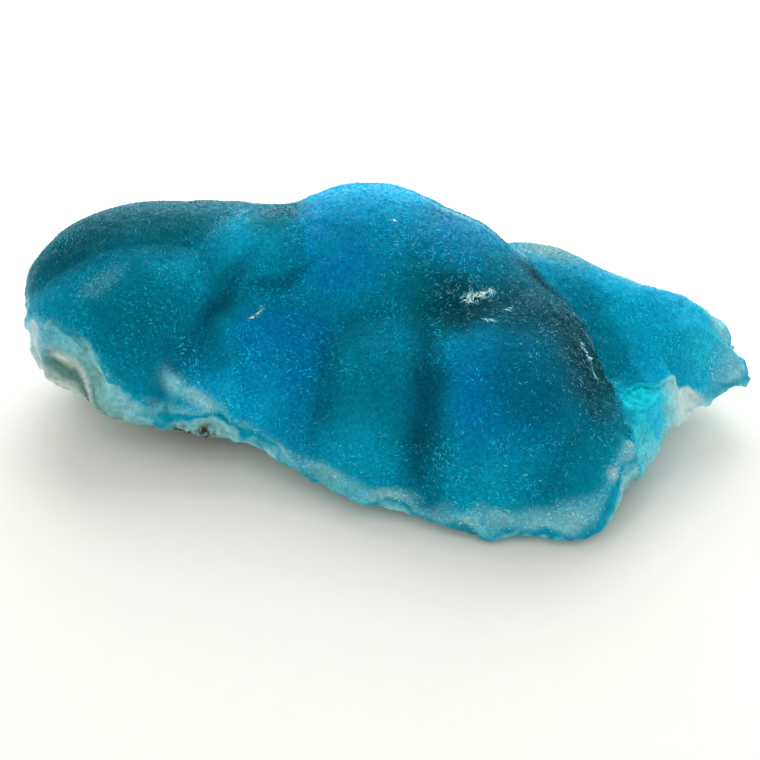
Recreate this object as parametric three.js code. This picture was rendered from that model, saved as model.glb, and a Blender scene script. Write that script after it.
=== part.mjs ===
// Hemimorphite specimen: a piece of blue botryoidal hemimorphite, broken out of its vein.
//
// Millimetres. X runs along the piece, the lobed face looks towards -Y and upwards, +Z is up.
// The piece rests on the flat middle of its underside, at z = 0, and the origin is the centre
// of its bounding box on that plane.
//
// It grew as one piece, so it is one closed solid. Its surface is where a distance function
// is zero. The function joins and cuts these forms:
//   masses    ellipsoids that merge into the body, and others that merge into the wing
//   roll      the fall of the crust towards the broken rim
//   lobes     flat ellipsoids seated on the body, with a crease where two of them meet
//   walls     the broken rim, at a signed distance from an outline seen from above
//   underside the flat rest face, which lifts clear of the ground towards the rim
import * as THREE from 'three';
import { mergeVertices } from 'three/addons/utils/BufferGeometryUtils.js';

// ---------------------------------------------------------------- driving dimensions, mm

// Turn is about Z and tilt about the turned X, both in degrees.
const BODY_MASSES = [
  { at: [-18.2, 4.6, 2], radii: [13.3, 12.5, 8.9], turn: -5, tilt: 20 },
  { at: [-18.8, 8.3, 5.9], radii: [10.7, 6, 7], turn: -2, tilt: 0 },
  { at: [-5, 2, 3], radii: [15, 16.5, 7.4], turn: -15, tilt: 28 },
  { at: [-1.8, 7.5, 7.4], radii: [8.7, 6.5, 7.6], turn: -8, tilt: 0 },
  { at: [9.3, -3.5, 0.8], radii: [13.4, 15.5, 8.6], turn: -22, tilt: 22 },
  { at: [8.7, 2.9, 4.9], radii: [8.9, 7.8, 7.5], turn: -40, tilt: 0 },
];
const WING_MASSES = [
  { at: [14.5, 6.8, 6], radii: [9.5, 7.8, 5.4], turn: -20, tilt: 0 },
  { at: [22.5, 2.8, 5.2], radii: [9.8, 8, 3.8], turn: -25, tilt: 10 },
];
// The broken block left standing on the heel of the wing: its radii are its half sizes.
const HEEL_BLOCK = { at: [20.8, -5.5, 3.3], radii: [3.3, 4.1, 3.2], turn: -38, tilt: 12 };

// A lobe is seated on the body above its place in plan. Its radii run along the surface in the
// direction of its turn, along the surface across that, and into the stone. It stands proud of
// the body by its rise.
const LOBES = [
  { name: 'left', at: [-20.2, -0.8], radii: [8.8, 7.8, 5.2], turn: 14, rise: 1.4 },
  { name: 'back band', at: [-19.2, 8.6], radii: [9.6, 4.8, 4], turn: 14, rise: 0.6 },
  { name: 'round', at: [-9.9, 4.6], radii: [4.9, 4.8, 3.5], turn: 0, rise: 1.7 },
  { name: 'small', at: [-14.2, -4.1], radii: [4.6, 5, 3.4], turn: 0, rise: 1.6 },
  { name: 'middle blue', at: [-8.2, -4.3], radii: [5, 7.4, 4.3], turn: -8, rise: 1.5 },
  { name: 'middle teal', at: [-1, -7.8], radii: [5.8, 7.6, 4.5], turn: 0, rise: 1.5 },
  { name: 'upper middle', at: [-3.5, 2.3], radii: [7.8, 5.6, 4.2], turn: 0, rise: 0.85 },
  { name: 'dome', at: [-1.6, 8.2], radii: [6.8, 6, 4.2], turn: -2, rise: 0.65 },
  { name: 'upper right', at: [6.2, 4.2], radii: [7.2, 5.8, 4.4], turn: -28, rise: 0.9 },
  { name: 'right', at: [8.6, -8.2], radii: [8.2, 8.8, 5.6], turn: 0, rise: 1.6 },
  { name: 'shoulder', at: [14.9, -2.9], radii: [5.8, 8.8, 4.6], turn: -20, rise: 1 },
  { name: 'low right', at: [15.2, -11.6], radii: [5.4, 5.4, 4.4], turn: 0, rise: 0.8 },
];

// Outlines of the broken rim, seen from above, anticlockwise from the left end.
const BODY_OUTLINE = [
  [-29.2, 8.2], [-29.4, 2.6], [-27.9, -0.4], [-25.2, -1.5], [-22.2, -4.2], [-11, -6.2], [-7, -8.7],
  [-3, -11.2], [4, -13], [7.5, -14.3], [14, -14.6], [17.3, -13.1], [18.8, -9.7], [18, -4.6],
  [16.5, 0.4], [12.5, 5.4], [8.8, 9.8], [5.4, 12.6], [1.5, 14.4], [-3.5, 14.9], [-7, 13.9],
  [-12, 14.7], [-17, 13.9], [-21, 14], [-26.2, 12],
];
const WING_OUTLINE = [
  [7, 13.5], [12, -4], [18.6, -10], [20.4, -8.3], [21.8, -6.4], [22.8, -4.4], [24.2, -3.4],
  [27.4, -1], [29.8, -0.5], [29.2, 1.2], [28.1, 2.2], [28, 3.4], [26.8, 4.7], [25, 6.2],
  [21.7, 7.3], [18, 9.4], [13.5, 12], [10, 13.3],
];

// The outline inside which the crust has flaked off the wing's heel, and how deep.
const HEEL_FLAKE = [
  [17.4, -6.6], [18.7, -4.3], [20, -3.6], [21.4, -3.9], [22.6, -3.1], [24.2, -1.9], [25.6, -1.7],
  [26.4, -4], [22, -12], [17.5, -11],
];
const HEEL_FLAKE_DEPTH = 0.45;

// Profiles along X, as [x, value] with straight runs between.
const RIM_LIFT = [
  [-28, 5.4], [-24, 4.6], [-20, 3.7], [-10, 2.8], [-2, 1.3], [8, 0.4], [16, 0.4], [20, 1.5],
];
const RIM_HEIGHT = [
  [-28, 5.5], [-24.5, 3.6], [-21.5, 2], [-17, 1], [-5, 0.6], [2, 1.3], [15, 2.2], [20, 4],
];
const FRONT_RIM_Y = [[-28, 4], [-25, -1], [-21, -4], [-10, -6], [-2, -11], [8, -15], [18, -15]];
const WING_UNDERSIDE = [[18, 1.2], [22, 2.3], [27, 3.2], [29.5, 4.2]];

// The wall leans in as far as the crust's edge at the front, and stands upright at the back and
// the right.
const WALL_LEAN_BY_Y = [[-4, 0.25], [6, -0.05]];
const WALL_LEAN_BY_X = [[14, 1], [19, 0]];
const WALL_LEAN_FROM = 1.8;
const WALL_SCALE = 0.93;
const WING_LEAN_BY_Y = [[-2, 0.3], [4, -0.15]];
const WING_LEAN_FROM = 3;
const WING_WALL_SCALE = 0.96;

const MASS_BLEND = 2.2;
const WING_BLEND = 1;
const LOBE_BLEND = 0.75;
const JOIN_BLEND = 0.5;
const EDGE_BLEND = 0.4;
const REST_BLEND = 0.1;
const CREASE_DEPTH = 0.5;
const CREASE_WIDTH = 1.2;

// The crust falls to the rim along a rounded roll, which starts inside the wall's top edge and
// rises more the further it is behind the front rim.
const ROLL_INSET = 0.6;
const ROLL_WIDTH = 9;
const ROLL_RISE = 9.5;
const ROLL_ROUNDNESS = 1.2;
const ROLL_BLEND = 1.5;
const ROLL_FALL = 1.2;
const ROLL_SCALE = 0.62;
const BACK_START = 3;
const BACK_SLOPE = 0.5;
const FULL_DEPTH = 40;
const LOBE_PROUD_OF_ROLL = 0.6;
const LOBE_ROLL_BLEND = 1.6;

// The wing is a thinner sheet: its rim is low in front and high at the back.
const WING_RIM_HEIGHT_BY_Y = [[-4, 0.6], [0, 1.4], [4, 4.5], [9, 7.1]];
const WING_ROLL_WIDTH = 4.5;
const WING_ROLL_RISE = 6.5;
const WING_ROLL_BLEND = 1;
const HEEL_BLEND = 0.5;

const UNDERSIDE_BAND = 7;
const UNDERSIDE_MOST = 1.2;

// Broken faces are rough at two wavelengths. Each wave has a direction, a share of the
// wavelength and a phase.
const COARSE_WAVE = { length: 7, height: 0.35 };
const FINE_WAVE = { length: 2.5, height: 0.12 };
const WAVES = [
  { along: [0.8, 0.5, 0.3], share: 1, phase: 0.4 },
  { along: [-0.4, 0.9, 0.2], share: 0.83, phase: 2.1 },
  { along: [0.2, -0.3, 0.9], share: 1.21, phase: 4 },
  { along: [0.7, -0.6, -0.4], share: 0.71, phase: 5.3 },
  { along: [-0.5, -0.2, 0.8], share: 1.36, phase: 1.2 },
];
const WAVE_SUM = 3;

// The skin is a sphere's mesh drawn in onto the surface from around this line.
const SPINE = [[-17, 4.5, 5.5], [17, -2, 5]];
const REACH = [16, 18, 17];
const SPHERE_DETAIL = 19;
const MARCH_STEPS = 26;
const HALVINGS = 8;
const RELAX_ROUNDS = 14;
const RELAX_SHARE = 0.6;
const REST_SNAP = 0.05;

// ---------------------------------------------------------------- small helpers

const clamp = THREE.MathUtils.clamp;
const radians = THREE.MathUtils.degToRad;

// Value of a profile at x, flat beyond its ends.
function profile(points, x) {
  if (x <= points[0][0]) return points[0][1];
  for (let i = 1; i < points.length; i += 1) {
    const [x0, y0] = points[i - 1];
    const [x1, y1] = points[i];
    if (x <= x1) return y0 + ((y1 - y0) * (x - x0)) / (x1 - x0);
  }
  return points[points.length - 1][1];
}

// Rounded minimum of several distances, by log-sum-exp.
function softMin(distances, blend) {
  const least = Math.min(...distances);
  let sum = 0;
  for (const d of distances) sum += Math.exp((least - d) / blend);
  return least - blend * Math.log(sum);
}

// Rounded maximum of two distances.
function softMax(a, b, blend) {
  const h = clamp(0.5 + (0.5 * (a - b)) / blend, 0, 1);
  return b + (a - b) * h + blend * h * (1 - h);
}

// Signed distance in plan to a closed outline, negative inside.
function outlineDistance(outline, x, y) {
  let nearest = Infinity;
  let inside = false;
  outline.forEach(([ax, ay], i) => {
    const [bx, by] = outline[(i + 1) % outline.length];
    const ex = bx - ax;
    const ey = by - ay;
    const t = clamp(((x - ax) * ex + (y - ay) * ey) / (ex * ex + ey * ey), 0, 1);
    nearest = Math.min(nearest, Math.hypot(x - ax - t * ex, y - ay - t * ey));
    if ((ay > y) !== (by > y) && x - ax < (ex * (y - ay)) / ey) inside = !inside;
  });
  return inside ? -nearest : nearest;
}

// An ellipsoid is its centre and its three axes, each divided by its radius.
function ellipsoid(centre, axes, radii) {
  return { centre, rows: axes.map((axis, i) => axis.clone().divideScalar(radii[i])) };
}

// Distance to an ellipsoid, to first order: its scaled radius less one, over that radius's slope.
function ellipsoidDistance({ centre, rows }, p) {
  const dx = p.x - centre.x;
  const dy = p.y - centre.y;
  const dz = p.z - centre.z;
  const [u, v, w] = rows.map((row) => row.x * dx + row.y * dy + row.z * dz);
  const n = Math.hypot(u, v, w) + 1e-9;
  const gx = rows[0].x * u + rows[1].x * v + rows[2].x * w;
  const gy = rows[0].y * u + rows[1].y * v + rows[2].y * w;
  const gz = rows[0].z * u + rows[1].z * v + rows[2].z * w;
  return (n - 1) / (Math.hypot(gx, gy, gz) / n + 1e-9);
}

// Distance to a block with chamfered edges: the rounded maximum over its three pairs of faces.
function blockDistance({ centre, rows }, halves, p) {
  const offset = p.clone().sub(centre);
  const [u, v, w] = rows.map((row, i) => (Math.abs(row.dot(offset)) - 1) * halves[i]);
  return softMax(softMax(u, v, HEEL_BLEND), w, HEEL_BLEND);
}

// A mass's centre and axes, tilted about X and then turned about Z.
function massEllipsoid({ at, radii, turn, tilt }) {
  const rotation = new THREE.Matrix4().makeRotationZ(radians(turn));
  rotation.multiply(new THREE.Matrix4().makeRotationX(radians(tilt)));
  const axes = [0, 1, 2].map((i) => new THREE.Vector3().setFromMatrixColumn(rotation, i));
  return ellipsoid(new THREE.Vector3(...at), axes, radii);
}

const waves = WAVES.map(({ along, share, phase }) => ({
  direction: new THREE.Vector3(...along).normalize(),
  share,
  phase,
}));

// Roughness of a broken face at a point.
function roughness(p) {
  let height = 0;
  for (const scale of [COARSE_WAVE, FINE_WAVE]) {
    for (const { direction, share, phase } of waves) {
      const turns = p.dot(direction) / (scale.length * share);
      height += (scale.height / WAVE_SUM) * Math.sin(2 * Math.PI * turns + phase);
    }
  }
  return height;
}

// ---------------------------------------------------------------- the stone

const bodyMasses = BODY_MASSES.map(massEllipsoid);
const wingMasses = WING_MASSES.map(massEllipsoid);
const heelBlock = massEllipsoid(HEEL_BLOCK);

// Height of the crust's edge: the rim is thin in front and rises towards the back.
function rimTop(p) {
  const behind = clamp(p.y - profile(FRONT_RIM_Y, p.x) - BACK_START, 0, FULL_DEPTH);
  return profile(RIM_LIFT, p.x) + profile(RIM_HEIGHT, p.x) + BACK_SLOPE * behind;
}

// Height of the roll over the rim: a superellipse's quarter inwards, and a steep fall outside.
function rollHeight(inward, width, rise) {
  const share = clamp(inward / width, 0, 1);
  const arc = (1 - (1 - share) ** ROLL_ROUNDNESS) ** (1 / ROLL_ROUNDNESS);
  return rise * arc + ROLL_FALL * Math.min(inward, 0);
}

// Height above the roll that takes the crust down to the rim, scaled to a distance.
function rollDistance(p, rimDistance) {
  const roll = rollHeight(-ROLL_INSET - rimDistance, ROLL_WIDTH, ROLL_RISE);
  return (p.z - rimTop(p) - roll) * ROLL_SCALE;
}

// The body before its lobes.
function plainBody(p) {
  const rim = outlineDistance(BODY_OUTLINE, p.x, p.y);
  const merged = softMin(bodyMasses.map((mass) => ellipsoidDistance(mass, p)), MASS_BLEND);
  return softMax(merged, rollDistance(p, rim), ROLL_BLEND);
}

// Slope of a distance function at a point.
function slope(field, p, step) {
  const axes = [new THREE.Vector3(step, 0, 0), new THREE.Vector3(0, step, 0), new THREE.Vector3(0, 0, step)];
  const rises = axes.map((axis) => field(p.clone().add(axis)) - field(p.clone().sub(axis)));
  return new THREE.Vector3(...rises).divideScalar(2 * step);
}

// A lobe's ellipsoid, laid on the plain body: find the surface under its place in plan, then
// sink it along the surface's normal until only its rise stands proud.
function lobeEllipsoid({ at: [x, y], radii, turn, rise }) {
  const seat = new THREE.Vector3(x, y, 25);
  while (plainBody(seat) > 0) seat.z -= 0.025;
  const normal = slope(plainBody, seat, 0.3).normalize();
  const along = new THREE.Vector3(Math.cos(radians(turn)), Math.sin(radians(turn)), 0);
  along.addScaledVector(normal, -along.dot(normal)).normalize();
  const across = new THREE.Vector3().crossVectors(normal, along);
  const centre = seat.addScaledVector(normal, rise - radii[2]);
  return ellipsoid(centre, [along, across, normal], radii);
}

const lobes = LOBES.map(lobeEllipsoid);

// The body: lobed crust above, broken wall around, lifted underside below.
function body(p) {
  const rim = outlineDistance(BODY_OUTLINE, p.x, p.y);
  const fromLobes = lobes.map((lobe) => ellipsoidDistance(lobe, p));
  const [first, second] = [...fromLobes].sort((a, b) => a - b);
  const crease = Math.exp(-(second - first + Math.max(first, 0)) / CREASE_WIDTH);
  const lobed = softMin([plainBody(p), ...fromLobes], LOBE_BLEND) + CREASE_DEPTH * crease;
  const crust = softMax(lobed, rollDistance(p, rim) - LOBE_PROUD_OF_ROLL, LOBE_ROLL_BLEND);
  const lean = profile(WALL_LEAN_BY_Y, p.y) * profile(WALL_LEAN_BY_X, p.x);
  const leaned = lean * (Math.min(p.z, rimTop(p)) - WALL_LEAN_FROM);
  const wall = (rim + leaned) * WALL_SCALE + roughness(p);
  const share = clamp(1 + rim / UNDERSIDE_BAND, 0, UNDERSIDE_MOST);
  const underside = profile(RIM_LIFT, p.x) * share * share - p.z;
  return softMax(softMax(crust, wall, EDGE_BLEND), underside, EDGE_BLEND);
}

// The wing behind the body's right end: a thin sheet that rolls down to its rim, with a block
// left standing on its heel where the crust has flaked off, and a broken wall all round.
function wing(p) {
  const rim = outlineDistance(WING_OUTLINE, p.x, p.y);
  const bottom = profile(WING_UNDERSIDE, p.x);
  const roll = rollHeight(-ROLL_INSET - rim, WING_ROLL_WIDTH, WING_ROLL_RISE);
  const overRoll = (p.z - bottom - profile(WING_RIM_HEIGHT_BY_Y, p.y) - roll) * ROLL_SCALE;
  const merged = softMin(wingMasses.map((mass) => ellipsoidDistance(mass, p)), WING_BLEND);
  const sheet = softMax(merged, overRoll, WING_ROLL_BLEND);
  const crust = softMin([sheet, blockDistance(heelBlock, HEEL_BLOCK.radii, p)], JOIN_BLEND);
  const leaned = profile(WING_LEAN_BY_Y, p.y) * Math.max(p.z - WING_LEAN_FROM, 0);
  const flaked = Math.min(-outlineDistance(HEEL_FLAKE, p.x, p.y), crust + HEEL_FLAKE_DEPTH);
  const wall = Math.max((rim + leaned) * WING_WALL_SCALE + roughness(p), flaked);
  return softMax(softMax(crust, wall, EDGE_BLEND), bottom - p.z, EDGE_BLEND);
}

// The whole stone, cut flat where it rests.
function stone(p) {
  return softMax(softMin([body(p), wing(p)], JOIN_BLEND), -p.z, REST_BLEND);
}

// ---------------------------------------------------------------- its skin

// Outermost point of the stone on the ray that leaves the spine in a direction.
function castOut(direction) {
  const [start, end] = SPINE.map((point) => new THREE.Vector3(...point));
  const from = start.lerp(end, (direction.x + 1) / 2);
  const ray = direction.clone().multiply(new THREE.Vector3(...REACH));
  const at = (t) => from.clone().addScaledVector(ray, t);
  let inner = 1;
  while (inner > 0 && stone(at(inner)) > 0) inner -= 1 / MARCH_STEPS;
  inner = Math.max(inner, 0);
  let outer = inner + 1 / MARCH_STEPS;
  for (let i = 0; i < HALVINGS; i += 1) {
    const middle = (inner + outer) / 2;
    if (stone(at(middle)) > 0) outer = middle;
    else inner = middle;
  }
  return at((inner + outer) / 2);
}

// The other ends of the edges that leave each vertex.
function neighboursOf(index, count) {
  const neighbours = Array.from({ length: count }, () => new Set());
  for (let i = 0; i < index.count; i += 3) {
    const corners = [index.getX(i), index.getX(i + 1), index.getX(i + 2)];
    corners.forEach((corner, k) => neighbours[corner].add(corners[(k + 1) % 3]));
  }
  return neighbours.map((set) => [...set]);
}

// Even the mesh out: move each point part of the way to its neighbours' middle, then back
// onto the surface.
function relax(points, neighbours) {
  const moved = points.map((point, i) => {
    const middle = new THREE.Vector3();
    for (const j of neighbours[i]) middle.add(points[j]);
    middle.divideScalar(neighbours[i].length);
    return point.clone().lerp(middle, RELAX_SHARE);
  });
  return moved.map((point) => {
    const grade = slope(stone, point, 0.04);
    const off = clamp(stone(point), -1, 1);
    return point.addScaledVector(grade, -off / (grade.lengthSq() + 1e-3));
  });
}

function stoneGeometry() {
  const sphere = new THREE.IcosahedronGeometry(1, SPHERE_DETAIL);
  sphere.deleteAttribute('normal');
  sphere.deleteAttribute('uv');
  const geometry = mergeVertices(sphere);
  const position = geometry.getAttribute('position');
  const neighbours = neighboursOf(geometry.getIndex(), position.count);
  let points = neighbours.map((_, i) => castOut(new THREE.Vector3().fromBufferAttribute(position, i)));
  for (let round = 0; round < RELAX_ROUNDS; round += 1) points = relax(points, neighbours);
  points.forEach((point, i) => {
    const z = point.z < REST_SNAP ? 0 : point.z;
    position.setXYZ(i, point.x, point.y, z);
  });
  geometry.computeBoundingBox();
  const centre = geometry.boundingBox.getCenter(new THREE.Vector3());
  geometry.translate(-centre.x, -centre.y, 0);
  geometry.computeVertexNormals();
  return geometry;
}

// Hemimorphite tinted blue by copper: translucent, finely crystalline, with a soft lustre.
const blueHemimorphite = new THREE.MeshStandardMaterial({
  color: '#067f9f',
  roughness: 0.42,
  metalness: 0,
});

const specimen = new THREE.Mesh(stoneGeometry(), blueHemimorphite);
specimen.name = 'hemimorphite_stone';

const group = new THREE.Group();
group.add(specimen);

export default group;
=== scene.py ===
"""A specimen of blue botryoidal hemimorphite on a plain white stage.

The piece grew as one crust of rounded lobes and was broken out of its vein. Three things make
its look: the stone's fine skin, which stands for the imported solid; the druse, many thousand
small crystals that lie on the crust; and the light.

The form's tables and functions are in millimetres, with X along the piece and +Z up. They are
the ones that the solid was made from, so the skin lies on it. A mesh is written in metres.
"""

import math
from functools import partial
from types import SimpleNamespace

import bpy
import numpy as np
from bpy.props import FloatProperty, FloatVectorProperty, IntProperty, PointerProperty
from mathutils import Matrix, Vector


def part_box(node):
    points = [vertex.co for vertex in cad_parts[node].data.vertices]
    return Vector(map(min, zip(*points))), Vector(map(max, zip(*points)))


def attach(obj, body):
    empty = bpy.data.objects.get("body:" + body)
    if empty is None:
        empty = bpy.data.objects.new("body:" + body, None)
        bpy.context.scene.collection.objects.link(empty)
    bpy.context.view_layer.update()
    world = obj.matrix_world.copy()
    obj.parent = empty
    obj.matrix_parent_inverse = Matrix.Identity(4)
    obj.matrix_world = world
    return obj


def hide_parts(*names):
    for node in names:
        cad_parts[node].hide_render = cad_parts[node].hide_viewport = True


bl_info = {
    "name": "Blue hemimorphite specimen",
    "version": (1, 0, 0),
    "blender": (4, 5, 0),
    "location": "3D View > Sidebar > Hemimorphite",
    "description": "Builds the skin, the druse and the stage of a piece of blue hemimorphite",
    "category": "Add Mesh",
}

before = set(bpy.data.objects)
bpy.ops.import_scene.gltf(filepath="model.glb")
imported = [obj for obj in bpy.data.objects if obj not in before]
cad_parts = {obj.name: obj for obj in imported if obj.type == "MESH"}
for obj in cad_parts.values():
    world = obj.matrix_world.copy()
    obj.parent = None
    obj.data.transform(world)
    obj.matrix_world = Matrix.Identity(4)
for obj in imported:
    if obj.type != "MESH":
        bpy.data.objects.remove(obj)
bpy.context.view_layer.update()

NODE = "hemimorphite_stone"
BODY = "root"
MM = 0.001


# ------------------------------------------------------------------ colours

def linear(code):
    """Linear red, green and blue of an sRGB hex colour."""
    channels = [int(code[i : i + 2], 16) / 255 for i in (1, 3, 5)]
    return tuple(c / 12.92 if c <= 0.04045 else ((c + 0.055) / 1.055) ** 2.4 for c in channels)


# Name: sRGB colour and what wears it.
STONE_COLOURS = {
    "glow": ("#2CC4EA", "Crust so thin that light fills it, on the wing's outer half"),
    "azure": ("#07ABDE", "Thin crust that light passes through, on the dome and the small lobe"),
    "wing_blue": ("#059FC6", "The wing"),
    "bright_blue": ("#0487BF", "Clear crust above the middle"),
    "blue": ("#0379B4", "Thick clear crust, in the middle lobe"),
    "deep_blue": ("#047FBA", "The core of the large lobe"),
    "round_sea": ("#05A2C6", "The small round lobe"),
    "sea": ("#0389A8", "Crust between blue and green"),
    "green_sea": ("#0487A6", "The green-blue lobe in the middle"),
    "teal": ("#03708C", "The lobes' slopes"),
    # Darker crust, partly painted shade, on the back band and the shoulder.
    "dark_teal": ("#055C6A", "The back band and the shoulder"),
    # Painted shade on the floor of a crease and in the hollows between lobes.
    "shade": ("#034866", "The floor of a crease"),
    # The darkest crust, where it is thick, darkened further by painted shade on the dark band, the
    # shoulder and the back band.
    "night": ("#053E4A", "The darkest crust"),
    # Lighter crust towards the rim: partly its thinness, partly painted glow of light through it.
    "rim_cyan": ("#059EBE", "Crust that thins towards the broken rim"),
    "turquoise": ("#12D0E6", "Freshly broken crust at the wing's heel"),
    # Pale and frost also tint the druse's white crystals, partly real frost and partly painted
    # sparkle and highlights.
    "pale": ("#8CD6E0", "A thin translucent edge"),
    "frost": ("#DCF2F4", "White fine-grained hemimorphite"),
    "layer_green": ("#80BCBB", "A grey-green layer in the broken rim"),
    "layer_grey": ("#6E9694", "A grey layer in the broken rim"),
    "matrix": ("#C8DAD6", "The host rock under the crust"),
    "matrix_dark": ("#5C827C", "Darker bands of the host rock"),
    "earth": ("#6F8F86", "A thin stain of iron on a translucent edge"),
    "rust": ("#4E3322", "Iron oxide on the underside"),
}


# ------------------------------------------------------------------ the stone's form, mm

def mass(at, radii, turn, tilt=0.0):
    """An ellipsoid's place, its radii, its turn about Z and its tilt about the turned X."""
    return SimpleNamespace(at=at, radii=radii, turn=turn, tilt=tilt)


BODY_MASSES = (
    mass((-18.2, 4.6, 2), (13.3, 12.5, 8.9), -5, 20),
    mass((-18.8, 8.3, 5.9), (10.7, 6, 7), -2),
    mass((-5, 2, 3), (15, 16.5, 7.4), -15, 28),
    mass((-1.8, 7.5, 7.4), (8.7, 6.5, 7.6), -8),
    mass((9.3, -3.5, 0.8), (13.4, 15.5, 8.6), -22, 22),
    mass((8.7, 2.9, 4.9), (8.9, 7.8, 7.5), -40),
)
WING_MASSES = (
    mass((14.5, 6.8, 6.0), (9.5, 7.8, 5.4), -20),
    mass((22.5, 2.8, 5.2), (9.8, 8, 3.8), -25, 10),
)
# Half sizes of the broken block on the wing's heel.
HEEL_BLOCK = mass((20.8, -5.5, 3.3), (3.3, 4.1, 3.2), -38, 12)


def lobe(at, radii, turn, rise, core, slope, smooth=0.0):
    """A lobe's place in plan, its radii along, across and into the surface, its turn, how far
    it stands proud, its colours at its pole and on its slopes, and how bare its pole is."""
    return SimpleNamespace(
        at=at, radii=radii, turn=turn, rise=rise, core=core, slope=slope, smooth=smooth
    )


# In order: left, back band, round, small, middle blue, middle teal, upper middle, dome, upper
# right, right, shoulder and low right.
LOBES = (
    lobe((-20.2, -0.8), (8.8, 7.8, 5.2), 14, 1.4, "teal", "sea", 0.3),
    lobe((-19.2, 8.6), (9.6, 4.8, 4), 14, 0.6, "dark_teal", "dark_teal"),
    lobe((-9.9, 4.6), (4.9, 4.8, 3.5), 0, 1.7, "round_sea", "sea"),
    lobe((-14.2, -4.1), (4.6, 5, 3.4), 0, 1.6, "azure", "azure"),
    lobe((-8.2, -4.3), (5, 7.4, 4.3), -8, 1.5, "blue", "blue", 0.5),
    lobe((-1, -7.8), (5.8, 7.6, 4.5), 0, 1.5, "teal", "green_sea"),
    lobe((-3.5, 2.3), (7.8, 5.6, 4.2), 0, 0.85, "bright_blue", "sea", 0.3),
    lobe((-1.6, 8.2), (6.8, 6, 4.2), -2, 0.65, "azure", "azure", 0.3),
    lobe((6.2, 4.2), (7.2, 5.8, 4.4), -28, 0.9, "bright_blue", "teal"),
    lobe((8.6, -8.2), (8.2, 8.8, 5.6), 0, 1.6, "deep_blue", "green_sea", 0.6),
    lobe((14.9, -2.9), (5.8, 8.8, 4.6), -20, 1, "dark_teal", "teal"),
    lobe((15.2, -11.6), (5.4, 5.4, 4.4), 0, 0.8, "green_sea", "teal"),
)

# Outlines of the broken rim, seen from above, anticlockwise from the left end.
BODY_OUTLINE = (
    (-29.2, 8.2), (-29.4, 2.6), (-27.9, -0.4), (-25.2, -1.5), (-22.2, -4.2), (-11, -6.2),
    (-7, -8.7), (-3, -11.2), (4, -13), (7.5, -14.3), (14, -14.6), (17.3, -13.1), (18.8, -9.7),
    (18, -4.6), (16.5, 0.4), (12.5, 5.4), (8.8, 9.8), (5.4, 12.6), (1.5, 14.4), (-3.5, 14.9),
    (-7, 13.9), (-12, 14.7), (-17, 13.9), (-21, 14), (-26.2, 12),
)
WING_OUTLINE = (
    (7, 13.5), (12, -4), (18.6, -10), (20.4, -8.3), (21.8, -6.4), (22.8, -4.4), (24.2, -3.4),
    (27.4, -1), (29.8, -0.5), (29.2, 1.2), (28.1, 2.2), (28, 3.4), (26.8, 4.7), (25, 6.2),
    (21.7, 7.3), (18, 9.4), (13.5, 12), (10, 13.3),
)
# The outline inside which the crust has flaked off the wing's heel, and how deep.
HEEL_FLAKE = (
    (17.4, -6.6), (18.7, -4.3), (20, -3.6), (21.4, -3.9), (22.6, -3.1), (24.2, -1.9), (25.6, -1.7),
    (26.4, -4), (22, -12), (17.5, -11),
)
HEEL_FLAKE_DEPTH = 0.45

# Profiles along X or Y, as points with straight runs between. The lift of the body's underside,
# the height of its rim above that, and the rim's place along Y in front.
RIM_LIFT = (
    (-28, 5.4), (-24, 4.6), (-20, 3.7), (-10, 2.8), (-2, 1.3), (8, 0.4), (16, 0.4), (20, 1.5),
)
RIM_HEIGHT = (
    (-28, 5.5), (-24.5, 3.6), (-21.5, 2), (-17, 1), (-5, 0.6), (2, 1.3), (15, 2.2), (20, 4),
)
FRONT_RIM_Y = ((-28, 4), (-25, -1), (-21, -4), (-10, -6), (-2, -11), (8, -15), (18, -15))
# The height of the wing's underside, and of its rim above that.
WING_UNDERSIDE = ((18, 1.2), (22, 2.3), (27, 3.2), (29.5, 4.2))
WING_RIM_HEIGHT_BY_Y = ((-4, 0.6), (0, 1.4), (4, 4.5), (9, 7.1))

# How far the broken walls lean for each millimetre above a height, and what scales them to a
# distance.
WALL_LEAN_BY_Y = ((-4, 0.25), (6, -0.05))
WALL_LEAN_BY_X = ((14, 1), (19, 0))
WALL_LEAN_FROM = 1.8
WALL_SCALE = 0.93
WING_LEAN_BY_Y = ((-2, 0.3), (4, -0.15))
WING_LEAN_FROM = 3
WING_WALL_SCALE = 0.96

# Rounding in millimetres where two forms meet.
MASS_BLEND = 2.2
WING_BLEND = 1
LOBE_BLEND = 0.75
JOIN_BLEND = 0.5
REST_BLEND = 0.1
HEEL_BLEND = 0.5
# How far a crease reaches from the line where two lobes meet.
CREASE_WIDTH = 1.2

# The roll that takes the crust down to its rim: its start, its width, its rise, the power of its
# curve, its fall outside, its rounding, and what scales it to a distance.
ROLL_INSET = 0.6
ROLL_WIDTH = 9
ROLL_RISE = 9.5
ROLL_ROUNDNESS = 1.2
ROLL_FALL = 1.2
ROLL_BLEND = 1.5
ROLL_SCALE = 0.62
WING_ROLL_WIDTH = 4.5
WING_ROLL_RISE = 6.5
WING_ROLL_BLEND = 1
# Lobes may stand this far over the roll, and are rounded into it.
LOBE_PROUD_OF_ROLL = 0.6
LOBE_ROLL_BLEND = 1.6

# Behind its front the rim rises: from this far back, by this slope.
BACK_START = 3
BACK_SLOPE = 0.5

# Width of the underside's raised band, and the most that it counts past the rim.
UNDERSIDE_BAND = 7
UNDERSIDE_MOST = 1.2

# Wavelength and height of the two waves that roughen a broken face.
BREAK_WAVES = ((7, 0.35), (2.5, 0.12))
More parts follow.
